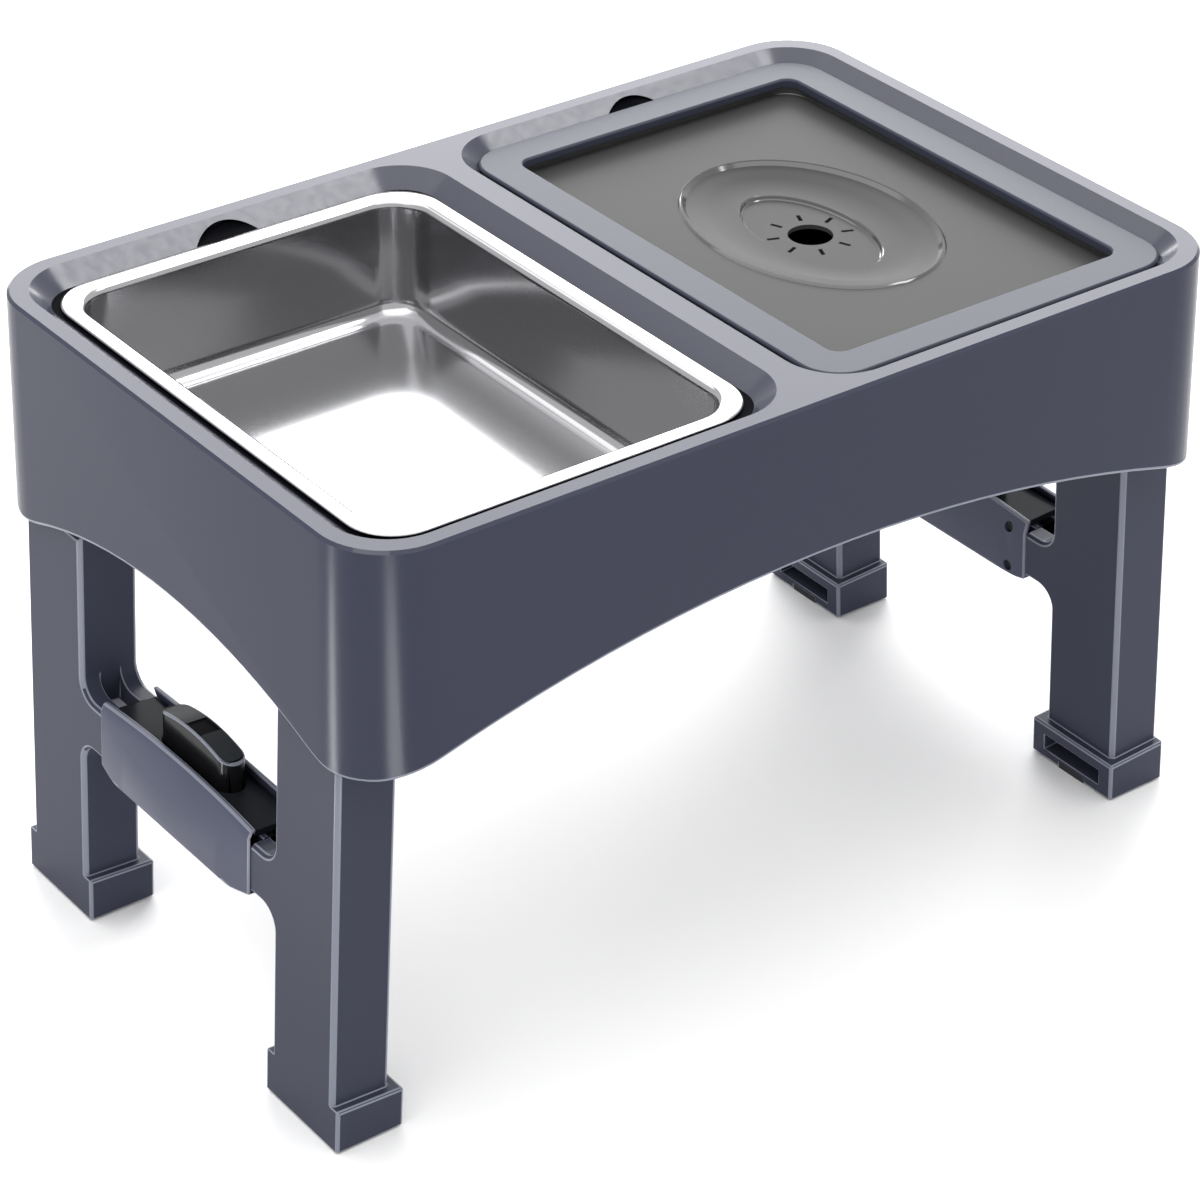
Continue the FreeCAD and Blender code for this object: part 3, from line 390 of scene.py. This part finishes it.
def carve(piece, bm, crease):
    """Cut a bmesh out of a piece, keep the result as its mesh and keep edges sharper than the crease."""
    mesh = bpy.data.meshes.new("cutter")
    bm.to_mesh(mesh)
    bm.free()
    cutter = bpy.data.objects.new("cutter", mesh)
    bpy.context.scene.collection.objects.link(cutter)
    cut = piece.modifiers.new("cut", "BOOLEAN")
    cut.object = cutter
    cut.solver = "EXACT"
    bpy.context.view_layer.update()
    depsgraph = bpy.context.evaluated_depsgraph_get()
    shape = bpy.data.meshes.new_from_object(piece.evaluated_get(depsgraph))
    piece.modifiers.clear()
    piece.data = shape
    bpy.data.objects.remove(cutter)
    if "custom_normal" in shape.attributes:
        shape.attributes.remove(shape.attributes["custom_normal"])
    shape.set_sharp_from_angle(angle=crease)


def even_out(piece):
    """Let the large faces of a piece set its shading."""
    even = piece.modifiers.new("even_shading", "WEIGHTED_NORMAL")
    even.keep_sharp = True
    even.weight = 100


def quarter(radius, steps, start_level):
    """Inward and upward steps of a quarter round, from level to upright or from upright to level."""
    out = []
    for step in range(steps):
        a = math.pi / 2 * step / steps
        b = math.pi / 2 * (step + 1) / steps
        if start_level:
            out.append((radius * (math.sin(b) - math.sin(a)), radius * (math.cos(b) - math.cos(a))))
        else:
            out.append((radius * (math.cos(a) - math.cos(b)), -radius * (math.sin(b) - math.sin(a))))
    return out


# Operators


class FEEDER_OT_table(bpy.types.Operator):
    """Soft-edged table with satin walls, a brighter top, glossier wells, a painted highlight along the
    skirt's lower edge and painted shade in the notches and on the ledges
    """

    bl_idname = "feeder.table"
    bl_label = "Table"

    # Material slots after the walls and the pale painted edge highlight
    WELL, SHADE, TOP = 2, 3, 4

    def execute(self, context):
        colours = context.scene.feeder_colours
        satin = moulded("table_satin", colours.table, rough=0.24, specular=0.08)
        # Pale painted highlight on the rounds of the skirt's lower edge
        pale = moulded("table_painted_edge_highlight", colours.edge, rough=0.3)
        softness = context.scene.feeder_sizes.table_edge
        piece = dress("table_body", satin, softness, segments=4, edge=pale)
        well_colour = darker(colours.table, share=0.9)
        shade_colour = darker(colours.table, share=0.05)
        for material in (polished_plastic("well_gloss", well_colour, rough=0.22, coat=0.0),
                         moulded("notch_shade", shade_colour, rough=0.7, specular=0.02),
                         moulded("table_top_satin", colours.table, rough=0.24)):
            piece.data.materials.append(material)
        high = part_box("table_body")[1]
        self.finish_top(piece, high)
        self.notches(piece, high.z)
        weigh_edges(piece, lambda place: self.softness(place, high.z))
        return {"FINISHED"}

    def finish_top(self, piece, high):
        """Give the top and the slopes of the wells their own finishes, and give the ledges painted shade."""
        rim, skin = 0.0075, 0.0002
        floor = high.z - 0.012
        least_tilt, level = 0.3, 0.99
        for polygon in piece.data.polygons:
            centre = polygon.center
            if centre.z <= floor or polygon.normal.z <= least_tilt:
                continue
            inside = abs(centre.x) < high.x - rim and abs(centre.y) < high.y - rim
            if inside and centre.z < high.z - skin:
                polygon.material_index = self.SHADE if polygon.normal.z > level else self.WELL
            else:
                polygon.material_index = self.TOP

    def softness(self, place, top):
        """Full softness, and with it the pale painted highlight, on the skirt's outer lower edge, and none
        elsewhere.
        """
        near, rim = 0.0005, 0.016
        spread = math.tan(SKIRT_FLARE) * (top - place.z)
        reach = math.hypot(max(abs(place.x) - CORNER_X, 0), max(abs(place.y) - CORNER_Y, 0))
        on_skirt = abs(reach - CORNER_RADIUS - spread) < near
        return 1.0 if on_skirt and place.z < top - rim else 0.0

    def notches(self, piece, top):
        """Round the arches of the two finger notches and paint shade on their insides."""
        half, rise = 0.0155, 0.0058
        radius = (half ** 2 + rise ** 2) / (rise + rise)
        ledge = top - SLOPE_DROP
        level = ledge + rise - radius
        run = SLOPE_RUN / SLOPE_DROP
        back = SLOPE_FOOT + run * rise
        near, skin, margin, shortest = 0.00003, 0.0001, 0.0005, 0.0004
        middles = []
        bm = bmesh.new()
        bm.from_mesh(piece.data)
        for bowl in ("food_bowl", "water_bowl"):
            low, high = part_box(bowl)
            middle = (low.x + high.x) / 2
            middles.append(middle)
            arch = {vert for vert in bm.verts
                    if vert.co.y > SLOPE_FOOT - margin and vert.co.z > ledge - skin
                    and abs(math.hypot(vert.co.x - middle, vert.co.z - level) - radius) < near}
            edges = [edge for edge in bm.edges if arch.issuperset(edge.verts)
                     and abs(edge.verts[0].co.x - edge.verts[1].co.x) > shortest]
            made = bmesh.ops.subdivide_edges(bm, edges=edges, cuts=6, use_grid_fill=True)
            fresh = {part for part in made["geom_inner"] if isinstance(part, bmesh.types.BMVert)}
            for vert in fresh:
                lift = level + math.sqrt(radius ** 2 - (vert.co.x - middle) ** 2) - vert.co.z
                vert.co.z += lift
                if vert.co.y < back - near:
                    vert.co.y += run * lift
            for edge in bm.edges:
                if (arch | fresh).issuperset(edge.verts):
                    edge.smooth = False
        bm.to_mesh(piece.data)
        bm.free()
        self.darken(piece, middles, half, (SLOPE_FOOT, back), (ledge, ledge + rise))

    def darken(self, piece, middles, half, depths, heights):
        """Shade the small faces inside the notches that look down or to the front."""
        margin, skin, largest = 0.0003, 0.0002, 0.0002
        to_front, to_floor = -0.95, -0.05
        for polygon in piece.data.polygons:
            place = polygon.center
            across = min(abs(place.x - middle) for middle in middles) < half
            in_depth = depths[0] - margin < place.y < depths[1] + margin
            in_height = heights[0] < place.z < heights[1] + skin
            faces_in = polygon.normal.y < to_front or polygon.normal.z < to_floor
            if across and in_depth and in_height and faces_in and polygon.area < largest:
                polygon.material_index = self.SHADE


class FEEDER_OT_food_bowl(bpy.types.Operator):
    """Polished steel bowl with a rolled rim, a round lip and a coved floor"""

    bl_idname = "feeder.food_bowl"
    bl_label = "Food bowl"

    def execute(self, context):
        sizes = context.scene.feeder_sizes
        low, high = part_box("food_bowl")
        centre = Vector(((low.x + high.x) / 2, 0, high.z))
        half = (high - low) / 2
        wall = Vector((0.0815, 0.114, 0))
        corner, roll = 0.017, 0.0009
        wall_steps, draft = 2, 0.0004
        lip, heel = sizes.bowl_lip, sizes.bowl_heel
        bm = bmesh.new()
        inner = round_plate(bm, wall.x + lip, wall.y + lip, corner + lip, centre, segments=12)
        edges = list(inner.edges)
        reach = Vector((wall.x + lip, wall.y + lip, 1))
        for grow, rise in [(half.x - roll - reach.x, 0)] + quarter(roll, steps=4, start_level=True):
            edges = grow_loop(bm, edges, reach, grow, rise, centre)
        depth = half.z + half.z - sizes.steel_gauge
        for inset, rise in quarter(lip, steps=6, start_level=True):
            step_in(bm, inner, inset, rise)
        for inset in [draft] * wall_steps:
            step_in(bm, inner, inset, -(depth - lip - heel) / wall_steps)
        for inset, rise in quarter(heel, steps=6, start_level=False):
            step_in(bm, inner, inset, rise)
        colour = context.scene.feeder_colours.steel
        steel = bright_steel("bowl_polish", colour, rough=0.13, stretch=(1, 1, 40))
        bowl = from_bmesh("food_bowl_drawn", bm, steel, "food_bowl")
        sheet = bowl.modifiers.new("gauge", "SOLIDIFY")
        sheet.thickness = sizes.steel_gauge
        sheet.offset = -1
        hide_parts("food_bowl")
        return {"FINISHED"}


class FEEDER_OT_water_bowl(bpy.types.Operator):
    """Basin, splash cover and floating plate of the water bowl"""

    bl_idname = "feeder.water_bowl"
    bl_label = "Water bowl"

    # Steps inwards and up: the bead around the dish, its steep wall, its slope, and the step to the disc
    DISH = ((0.0006, 0.0006), (0.0006, 0.0003), (0.0007, -0.0002),
            (0.0009, -0.0009), (0.0007, -0.0007), (0.0008, -0.0003),
            (0.0033, -0.0006), (0.0044, -0.0009), (0.0044, -0.0009), (0.008, -0.0002),
            (0.0024, 0), (0.0005, -0.0003), (0.0007, -0.0012), (0.0006, -0.0004))

    def execute(self, context):
        edge = context.scene.feeder_sizes.trim_edge
        colours = context.scene.feeder_colours
        basin = moulded("basin_satin", colours.basin, rough=0.35)
        dress("water_bowl", basin, edge, segments=2)
        cover = moulded("cover_satin", colours.cover, rough=0.38, specular=0.15)
        dress("splash_cover", cover, edge, segments=3)
        self.plate(moulded("plate_satin", colours.plate, rough=0.34, specular=0.04),
                   polished_plastic("dish_gloss", colours.plate, rough=0.12, coat=0.6))
        return {"FINISHED"}

    def plate(self, satin, gloss):
        """Floating plate: a raised border, an oval dish that steps down to a disc, a hole and slots."""
        low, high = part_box("float_plate")
        half = (high - low) / 2
        centre = Vector(((low.x + high.x) / 2, 0, high.z))
        corner, border, fall, sheet = 0.016, 0.002, 0.0037, 0.002
        chamfer, cove, hole = 0.0003, 0.0005, 0.0098
        reach = Vector((0.0495, 0.067, 1))
        least_slope, most_slope = 0.1, 0.93
        bm = bmesh.new()
        face = round_plate(bm, half.x, half.y, corner, centre, segments=8)
        step_in(bm, face, chamfer, chamfer)
        bmesh.ops.translate(bm, vec=(0, 0, -chamfer), verts=bm.verts)
        step_in(bm, face, border - chamfer * 2, 0)
        step_in(bm, face, chamfer, -chamfer)
        step_in(bm, face, chamfer, -(fall - chamfer - cove))
        step_in(bm, face, cove, -cove)
        flat_edges = list(face.edges)
        bmesh.ops.delete(bm, geom=[face], context="FACES_ONLY")
        top = Vector((centre.x, 0, high.z - fall))
        oval = bmesh.ops.create_circle(bm, segments=72, radius=1.0)
        bmesh.ops.scale(bm, vec=reach, verts=oval["verts"])
        bmesh.ops.translate(bm, vec=top, verts=oval["verts"])
        edges = list({edge for vert in oval["verts"] for edge in vert.link_edges})
        bmesh.ops.triangle_fill(bm, use_beauty=True, edges=flat_edges + edges, normal=(0, 0, 1))
        for inset, rise in self.DISH:
            edges = grow_loop(bm, edges, reach, -inset, rise, top)
        made = bmesh.ops.extrude_edge_only(bm, edges=edges)
        to_hole = (hole / reach.x, hole / reach.y, 1)
        bmesh.ops.scale(bm, vec=to_hole, verts=verts_of(made), space=Matrix.Translation(-top))
        bmesh.ops.recalc_face_normals(bm, faces=bm.faces)
        if sum(face.normal.z for face in bm.faces) < 0:
            bmesh.ops.reverse_faces(bm, faces=bm.faces)
        piece = from_bmesh("float_plate_moulded", bm, satin, "float")
        piece.data.materials.append(gloss)
        wall = piece.modifiers.new("sheet", "SOLIDIFY")
        wall.thickness = sheet
        wall.offset = -1
        self.slots(piece, Matrix.Translation((centre.x, 0, low.z)))
        for polygon in piece.data.polygons:
            if least_slope < polygon.normal.z < most_slope:
                polygon.material_index = SECOND
        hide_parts("float_plate")

    def slots(self, piece, middle):
        """Cut the ring of drain slots around the hole."""
        count, ring = 8, 0.0165
        long, wide, deep = 0.0055, 0.0018, 0.03
        crease = math.radians(24)
        slot = Matrix.Diagonal((long, wide, deep, 1))
        bm = bmesh.new()
        for index in range(count):
            turn = Matrix.Rotation(math.tau * (index + 0.5) / count, 4, "Z")
            place = middle @ turn @ Matrix.Translation((ring, 0, 0))
            bmesh.ops.create_cube(bm, size=1.0, matrix=place @ slot)
        carve(piece, bm, crease)


class FEEDER_OT_leg_frames(bpy.types.Operator):
    """Sliding H-frames with soft edges and chamfers in a pale painted highlight, and their rubber pads"""

    bl_idname = "feeder.leg_frames"
    bl_label = "Leg frames"

    def execute(self, context):
        colours = context.scene.feeder_colours
        satin = moulded("leg_satin", colours.table, rough=0.4, specular=0.1)
        pad = rubbery("pad_rubber", colours.rubber, rough=0.82)
        pale = moulded("leg_painted_edge_highlight", colours.edge, rough=0.3)
        softness = context.scene.feeder_sizes.leg_edge
        slanted = 0.6
        for side in SIDES:
            piece = dress(side + "_leg_frame", satin, softness, segments=3, edge=pale)
            # Faces that look out diagonally, the corner chamfers, take the pale painted highlight
            for polygon in piece.data.polygons:
                if abs(polygon.normal.x) > slanted and abs(polygon.normal.y) > slanted:
                    polygon.material_index = SECOND
            for row in ROWS:
                paint(f"{side}_foot_pad_{row}", pad)
        return {"FINISHED"}


class FEEDER_OT_grips(bpy.types.Operator):
    """Hand grips with screw holes, and the dark decks on them"""

    bl_idname = "feeder.grips"
    bl_label = "Grips"

    def execute(self, context):
        sizes = context.scene.feeder_sizes
        colours = context.scene.feeder_colours
        satin = moulded("grip_satin", colours.grip, rough=0.36)
        pale = moulded("grip_painted_edge_highlight", colours.edge, rough=0.3)
        gloss = moulded("deck_gloss", colours.deck, rough=0.2, specular=0.02)
        dark = darker(colours.hardware, share=0.06)
        steel = bright_steel("screw_steel", dark, rough=0.5, stretch=(1, 1, 1))
        for side in SIDES:
            # The shells' rounded edges take the pale painted highlight
            dress(side + "_grip_outer", satin, sizes.grip_edge, segments=4, edge=pale)
            dress(side + "_grip_deck", gloss, sizes.trim_edge, segments=3)
            inner = dress(side + "_grip_inner", satin, sizes.grip_edge, segments=4, edge=pale)
            self.drill(inner, side, sizes.screw_hole)
            self.screws(side, sizes.screw_head, steel)
        return {"FINISHED"}

    def places(self, side):
        """Middle of each screw on the inner shell, and the way it points out."""
        out = (leg_point(side, -1, 0, 0) - leg_point(side, 0, 0, 0)).normalized()
        return [(leg_point(side, INNER_FACE, across, GRIP_LEVEL + rise), out)
                for across in SCREWS_ACROSS for rise in SCREWS_UP]

    def drill(self, inner, side, radius):
        """Cut the screw holes through the shell."""
        bm = bmesh.new()
        for place, out in self.places(side):
            turn = out.to_track_quat("Z", "Y").to_matrix().to_4x4()
            bmesh.ops.create_cone(bm, cap_ends=True, segments=40, radius1=radius, radius2=radius, depth=0.012,
                                  matrix=Matrix.Translation(place) @ turn)
        carve(inner, bm, CREASE)
        even_out(inner)

    def screws(self, side, radius, steel):
        """Screws sunk in the holes, each with a shoulder, a crown and a sunk middle."""
        height, sunk = 0.0016, 0.0029
        head = ((0.0003, 0.0002), (0.0008, 0.0001), (0.0003, -0.0006))
        for index, (place, out) in enumerate(self.places(side)):
            bm = bmesh.new()
            made = bmesh.ops.create_circle(bm, cap_ends=True, segments=24, radius=radius)
            face = made["verts"][0].link_faces[0]
            grown = bmesh.ops.extrude_face_region(bm, geom=[face])
            top = [part for part in grown["geom"] if isinstance(part, bmesh.types.BMFace)][0]
            bmesh.ops.translate(bm, vec=(0, 0, height), verts=top.verts)
            for inset, rise in head:
                step_in(bm, top, inset, rise)
            bmesh.ops.recalc_face_normals(bm, faces=bm.faces)
            turn = out.to_track_quat("Z", "Y").to_matrix().to_4x4()
            bmesh.ops.transform(bm, matrix=Matrix.Translation(place - out * sunk) @ turn, verts=bm.verts)
            screw = from_bmesh(f"{side}_grip_screw_{index + 1}", bm, steel, side + "_leg")


class FEEDER_OT_latches(bpy.types.Operator):
    """Release buttons, bolts and the coiled springs between the bolts"""

    bl_idname = "feeder.latches"
    bl_label = "Latches"

    # Material slots after the sides and the pale painted edge highlight: painted reflection on the tops, then
    # the sunk field
    TOP, FIELD = 2, 3

    # Where the sunk field on a button's top ends along it, and how far out its edges are kept sharp
    FIELD_END = 0.0056
    FIELD_REACH_X = 0.0047
    FIELD_REACH_Y = 0.0062

    def execute(self, context):
        sizes = context.scene.feeder_sizes
        colours = context.scene.feeder_colours
        black = moulded("button_gloss", colours.button, rough=0.16, specular=0.12)
        top = moulded("button_top_painted_reflection", colours.painted_reflection_button_top, rough=0.3, specular=0.02)
        field = moulded("button_field_matt", colours.button, rough=0.6, specular=0.01)
        # Pale painted highlight on the buttons' rounded edges
        rim = moulded("button_painted_edge_highlight", colours.edge, rough=0.2)
        pale = moulded("bolt_pale", colours.bolt, rough=0.5)
        wire = bright_steel("spring_bright", colours.hardware, rough=0.25, stretch=(1, 1, 1))
        upward = 0.5
        for side in SIDES:
            node = side + "_push_button"
            button = dress(node, black, sizes.button_edge, segments=4, edge=rim)
            button.data.materials.append(top)
            button.data.materials.append(field)
            low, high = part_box(node)
            weigh_edges(button, lambda place: self.softness(place - (low + high) / 2))
            # Tops outside the sunk field take the lighter grey, a painted reflection; the field keeps the
            # matt black
            for polygon in button.data.polygons:
                if polygon.normal.z > upward:
                    outer = abs(polygon.center.y) > self.FIELD_END
                    polygon.material_index = self.TOP if outer else self.FIELD
            for row in ROWS:
                paint(f"{side}_latch_bolt_{row}", pale)
            self.spring(side, sizes.spring_wire, wire)
        return {"FINISHED"}

    def softness(self, place):
        """Full softness but for the edges of the sunk field on the button."""
        return 1.0 if abs(place.x) > self.FIELD_REACH_X or abs(place.y) > self.FIELD_REACH_Y else 0.0

    def spring(self, side, wire_radius, wire):
        """Coil of wire that stands for the latch spring."""
        low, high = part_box(side + "_latch_spring")
        middle = (low + high) / 2
        turns, steps_a_turn, wire_sides = 6, 18, 8
        steps = turns * steps_a_turn
        coil_radius = (high.z - low.z) / 2 - wire_radius
        length_along = high.y - low.y - wire_radius * 2
        bm = bmesh.new()
        start = Vector((middle.x + coil_radius, low.y + wire_radius, middle.z))
        ring = bmesh.ops.create_circle(bm, segments=wire_sides, radius=wire_radius,
                                       matrix=Matrix.Translation(start))
        outline = list({edge for vert in ring["verts"] for edge in vert.link_edges})
        bmesh.ops.spin(bm, geom=ring["verts"] + outline, cent=(middle.x, low.y + wire_radius, middle.z),
                       axis=(0, 1, 0), dvec=(0, length_along / steps, 0), angle=math.tau * turns, steps=steps,
                       use_merge=False)
        ends = [edge for edge in bm.edges if edge.is_boundary]
        bmesh.ops.holes_fill(bm, edges=ends, sides=wire_sides)
        bmesh.ops.recalc_face_normals(bm, faces=bm.faces)
        coil = from_bmesh(side + "_latch_coil", bm, wire, side + "_leg")
        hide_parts(side + "_latch_spring")
        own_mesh(coil)


class FEEDER_OT_hinges(bpy.types.Operator):
    """Inner posts on their hinge pins"""

    bl_idname = "feeder.hinges"
    bl_label = "Hinges"

    def execute(self, context):
        colours = context.scene.feeder_colours
        post = moulded("post_satin", colours.post, rough=0.45)
        pin = bright_steel("pin_drawn", colours.hardware, rough=0.3, stretch=(1, 12, 1))
        for side in SIDES:
            for row in ROWS:
                paint(f"{side}_inner_post_{row}", post)
                paint(f"{side}_hinge_pin_{row}", pin)
        return {"FINISHED"}


class FEEDER_OT_studio(bpy.types.Operator):
    """Pale floor, soft light and the camera"""

    bl_idname = "feeder.studio"
    bl_label = "Studio"

    def execute(self, context):
        scene = context.scene
        self.floor(scene, half_size=6.0)
        world = bpy.data.worlds.new("studio")
        world.use_nodes = True
        world.node_tree.nodes["Background"].inputs["Color"].default_value = (1, 1, 1, 1)
        world.node_tree.nodes["Background"].inputs["Strength"].default_value = 1.0
        scene.world = world
        self.softbox("overhead", place=(-0.2, 0.1, 1.8), aim=(0, 0, 0.2), size=2.6, watts=32)
        self.softbox("back", place=(1.5, 2.0, 1.55), aim=(0, 0, 0.25), size=2.2, watts=84)
        self.softbox("left", place=(-1.65, -0.25, 0.6), aim=(0, 0, 0.2), size=1.1, watts=0.35)
        self.softbox("front_sheen", place=(1.0, -0.53, 1.87), aim=(0, 0, 0.27), size=0.6, watts=11,
                     lights=False)
        self.strip("corner_sheen", place=(-0.533, 0.045, 0.004), size=(0.24, 0.05), turn=152, watts=1.3)
        self.strip("corner_glow", place=(-0.395, -0.45, 0.004), size=(0.24, 0.1), turn=-121, watts=2.1)
        scene.view_settings.view_transform = "Standard"
        self.camera(scene)
        return {"FINISHED"}

    def floor(self, scene, half_size):
        """Large level floor under the feeder."""
        bm = bmesh.new()
        bmesh.ops.create_grid(bm, x_segments=1, y_segments=1, size=half_size)
        mesh = bpy.data.meshes.new("floor")
        bm.to_mesh(mesh)
        bm.free()
        floor = bpy.data.objects.new("floor", mesh)
        mesh.materials.append(floor_paint("floor_paint", scene.feeder_colours.floor, rough=0.7))
        scene.collection.objects.link(floor)

    def softbox(self, name, place, aim, size, watts, lights=True):
        """Square area light that faces a point, or one that only shows as a sheen."""
        light = bpy.data.lights.new(name, "AREA")
        light.size = size
        light.energy = watts
        lamp = bpy.data.objects.new(name, light)
        lamp.location = place
        lamp.rotation_euler = (Vector(aim) - Vector(place)).to_track_quat("-Z", "Y").to_euler()
        lamp.visible_diffuse = lights
        lamp.visible_camera = False
        bpy.context.scene.collection.objects.link(lamp)

    def strip(self, name, place, size, turn, watts):
        """Narrow card low beside the feeder that faces up and only shows as a sheen."""
        light = bpy.data.lights.new(name, "AREA")
        light.shape = "RECTANGLE"
        light.size, light.size_y = size
        light.energy = watts
        lamp = bpy.data.objects.new(name, light)
        lamp.location = place
        lamp.rotation_euler = (math.pi, 0, math.radians(turn))
        lamp.visible_diffuse = False
        lamp.visible_camera = False
        bpy.context.scene.collection.objects.link(lamp)

    def camera(self, scene):
        """Camera at the photograph's place and angle."""
        place = (-0.85645, -1.13963, 1.00118)
        azimuth, elevation, roll = (math.radians(angle) for angle in (-36.792, 31.832, 0.371))
        back = Vector((math.sin(azimuth) * math.cos(elevation), -math.cos(azimuth) * math.cos(elevation),
                       math.sin(elevation)))
        right = (-back).cross(Vector((0, 0, 1))).normalized()
        up = back.cross(right)
        rolled_right = right * math.cos(roll) + up * math.sin(roll)
        rolled_up = up * math.cos(roll) - right * math.sin(roll)
        data = bpy.data.cameras.new("camera")
        data.sensor_width = 36.0
        data.lens = 116.668
        data.clip_start = 0.05
        data.clip_end = 50.0
        camera = bpy.data.objects.new("camera", data)
        turn = Matrix((rolled_right, rolled_up, back)).transposed().to_4x4()
        camera.matrix_world = Matrix.Translation(place) @ turn
        scene.collection.objects.link(camera)
        scene.camera = camera


PIECES = (FEEDER_OT_table, FEEDER_OT_food_bowl, FEEDER_OT_water_bowl, FEEDER_OT_leg_frames, FEEDER_OT_grips,
          FEEDER_OT_latches, FEEDER_OT_hinges, FEEDER_OT_studio)


class FEEDER_PT_panel(bpy.types.Panel):
    """List of the feeder's pieces"""

    bl_idname = "FEEDER_PT_panel"
    bl_label = "Raised pet feeder"
    bl_space_type = "VIEW_3D"
    bl_region_type = "UI"
    bl_category = "Feeder"

    def draw(self, context):
        for piece in PIECES:
            self.layout.operator(piece.bl_idname)
        for settings in (context.scene.feeder_sizes, context.scene.feeder_colours):
            for name in settings.__annotations__:
                self.layout.prop(settings, name)


CLASSES = (FeederSizes, FeederColours) + PIECES + (FEEDER_PT_panel,)


def register():
    for entry in CLASSES:
        bpy.utils.register_class(entry)
    bpy.types.Scene.feeder_sizes = bpy.props.PointerProperty(type=FeederSizes)
    bpy.types.Scene.feeder_colours = bpy.props.PointerProperty(type=FeederColours)


def unregister():
    del bpy.types.Scene.feeder_colours
    del bpy.types.Scene.feeder_sizes
    for entry in reversed(CLASSES):
        bpy.utils.unregister_class(entry)


def main():
    register()
    bpy.ops.feeder.table()
    bpy.ops.feeder.food_bowl()
    bpy.ops.feeder.water_bowl()
    bpy.ops.feeder.leg_frames()
    bpy.ops.feeder.grips()
    bpy.ops.feeder.latches()
    bpy.ops.feeder.hinges()
    bpy.ops.feeder.studio()


if __name__ == "__main__":
    main()
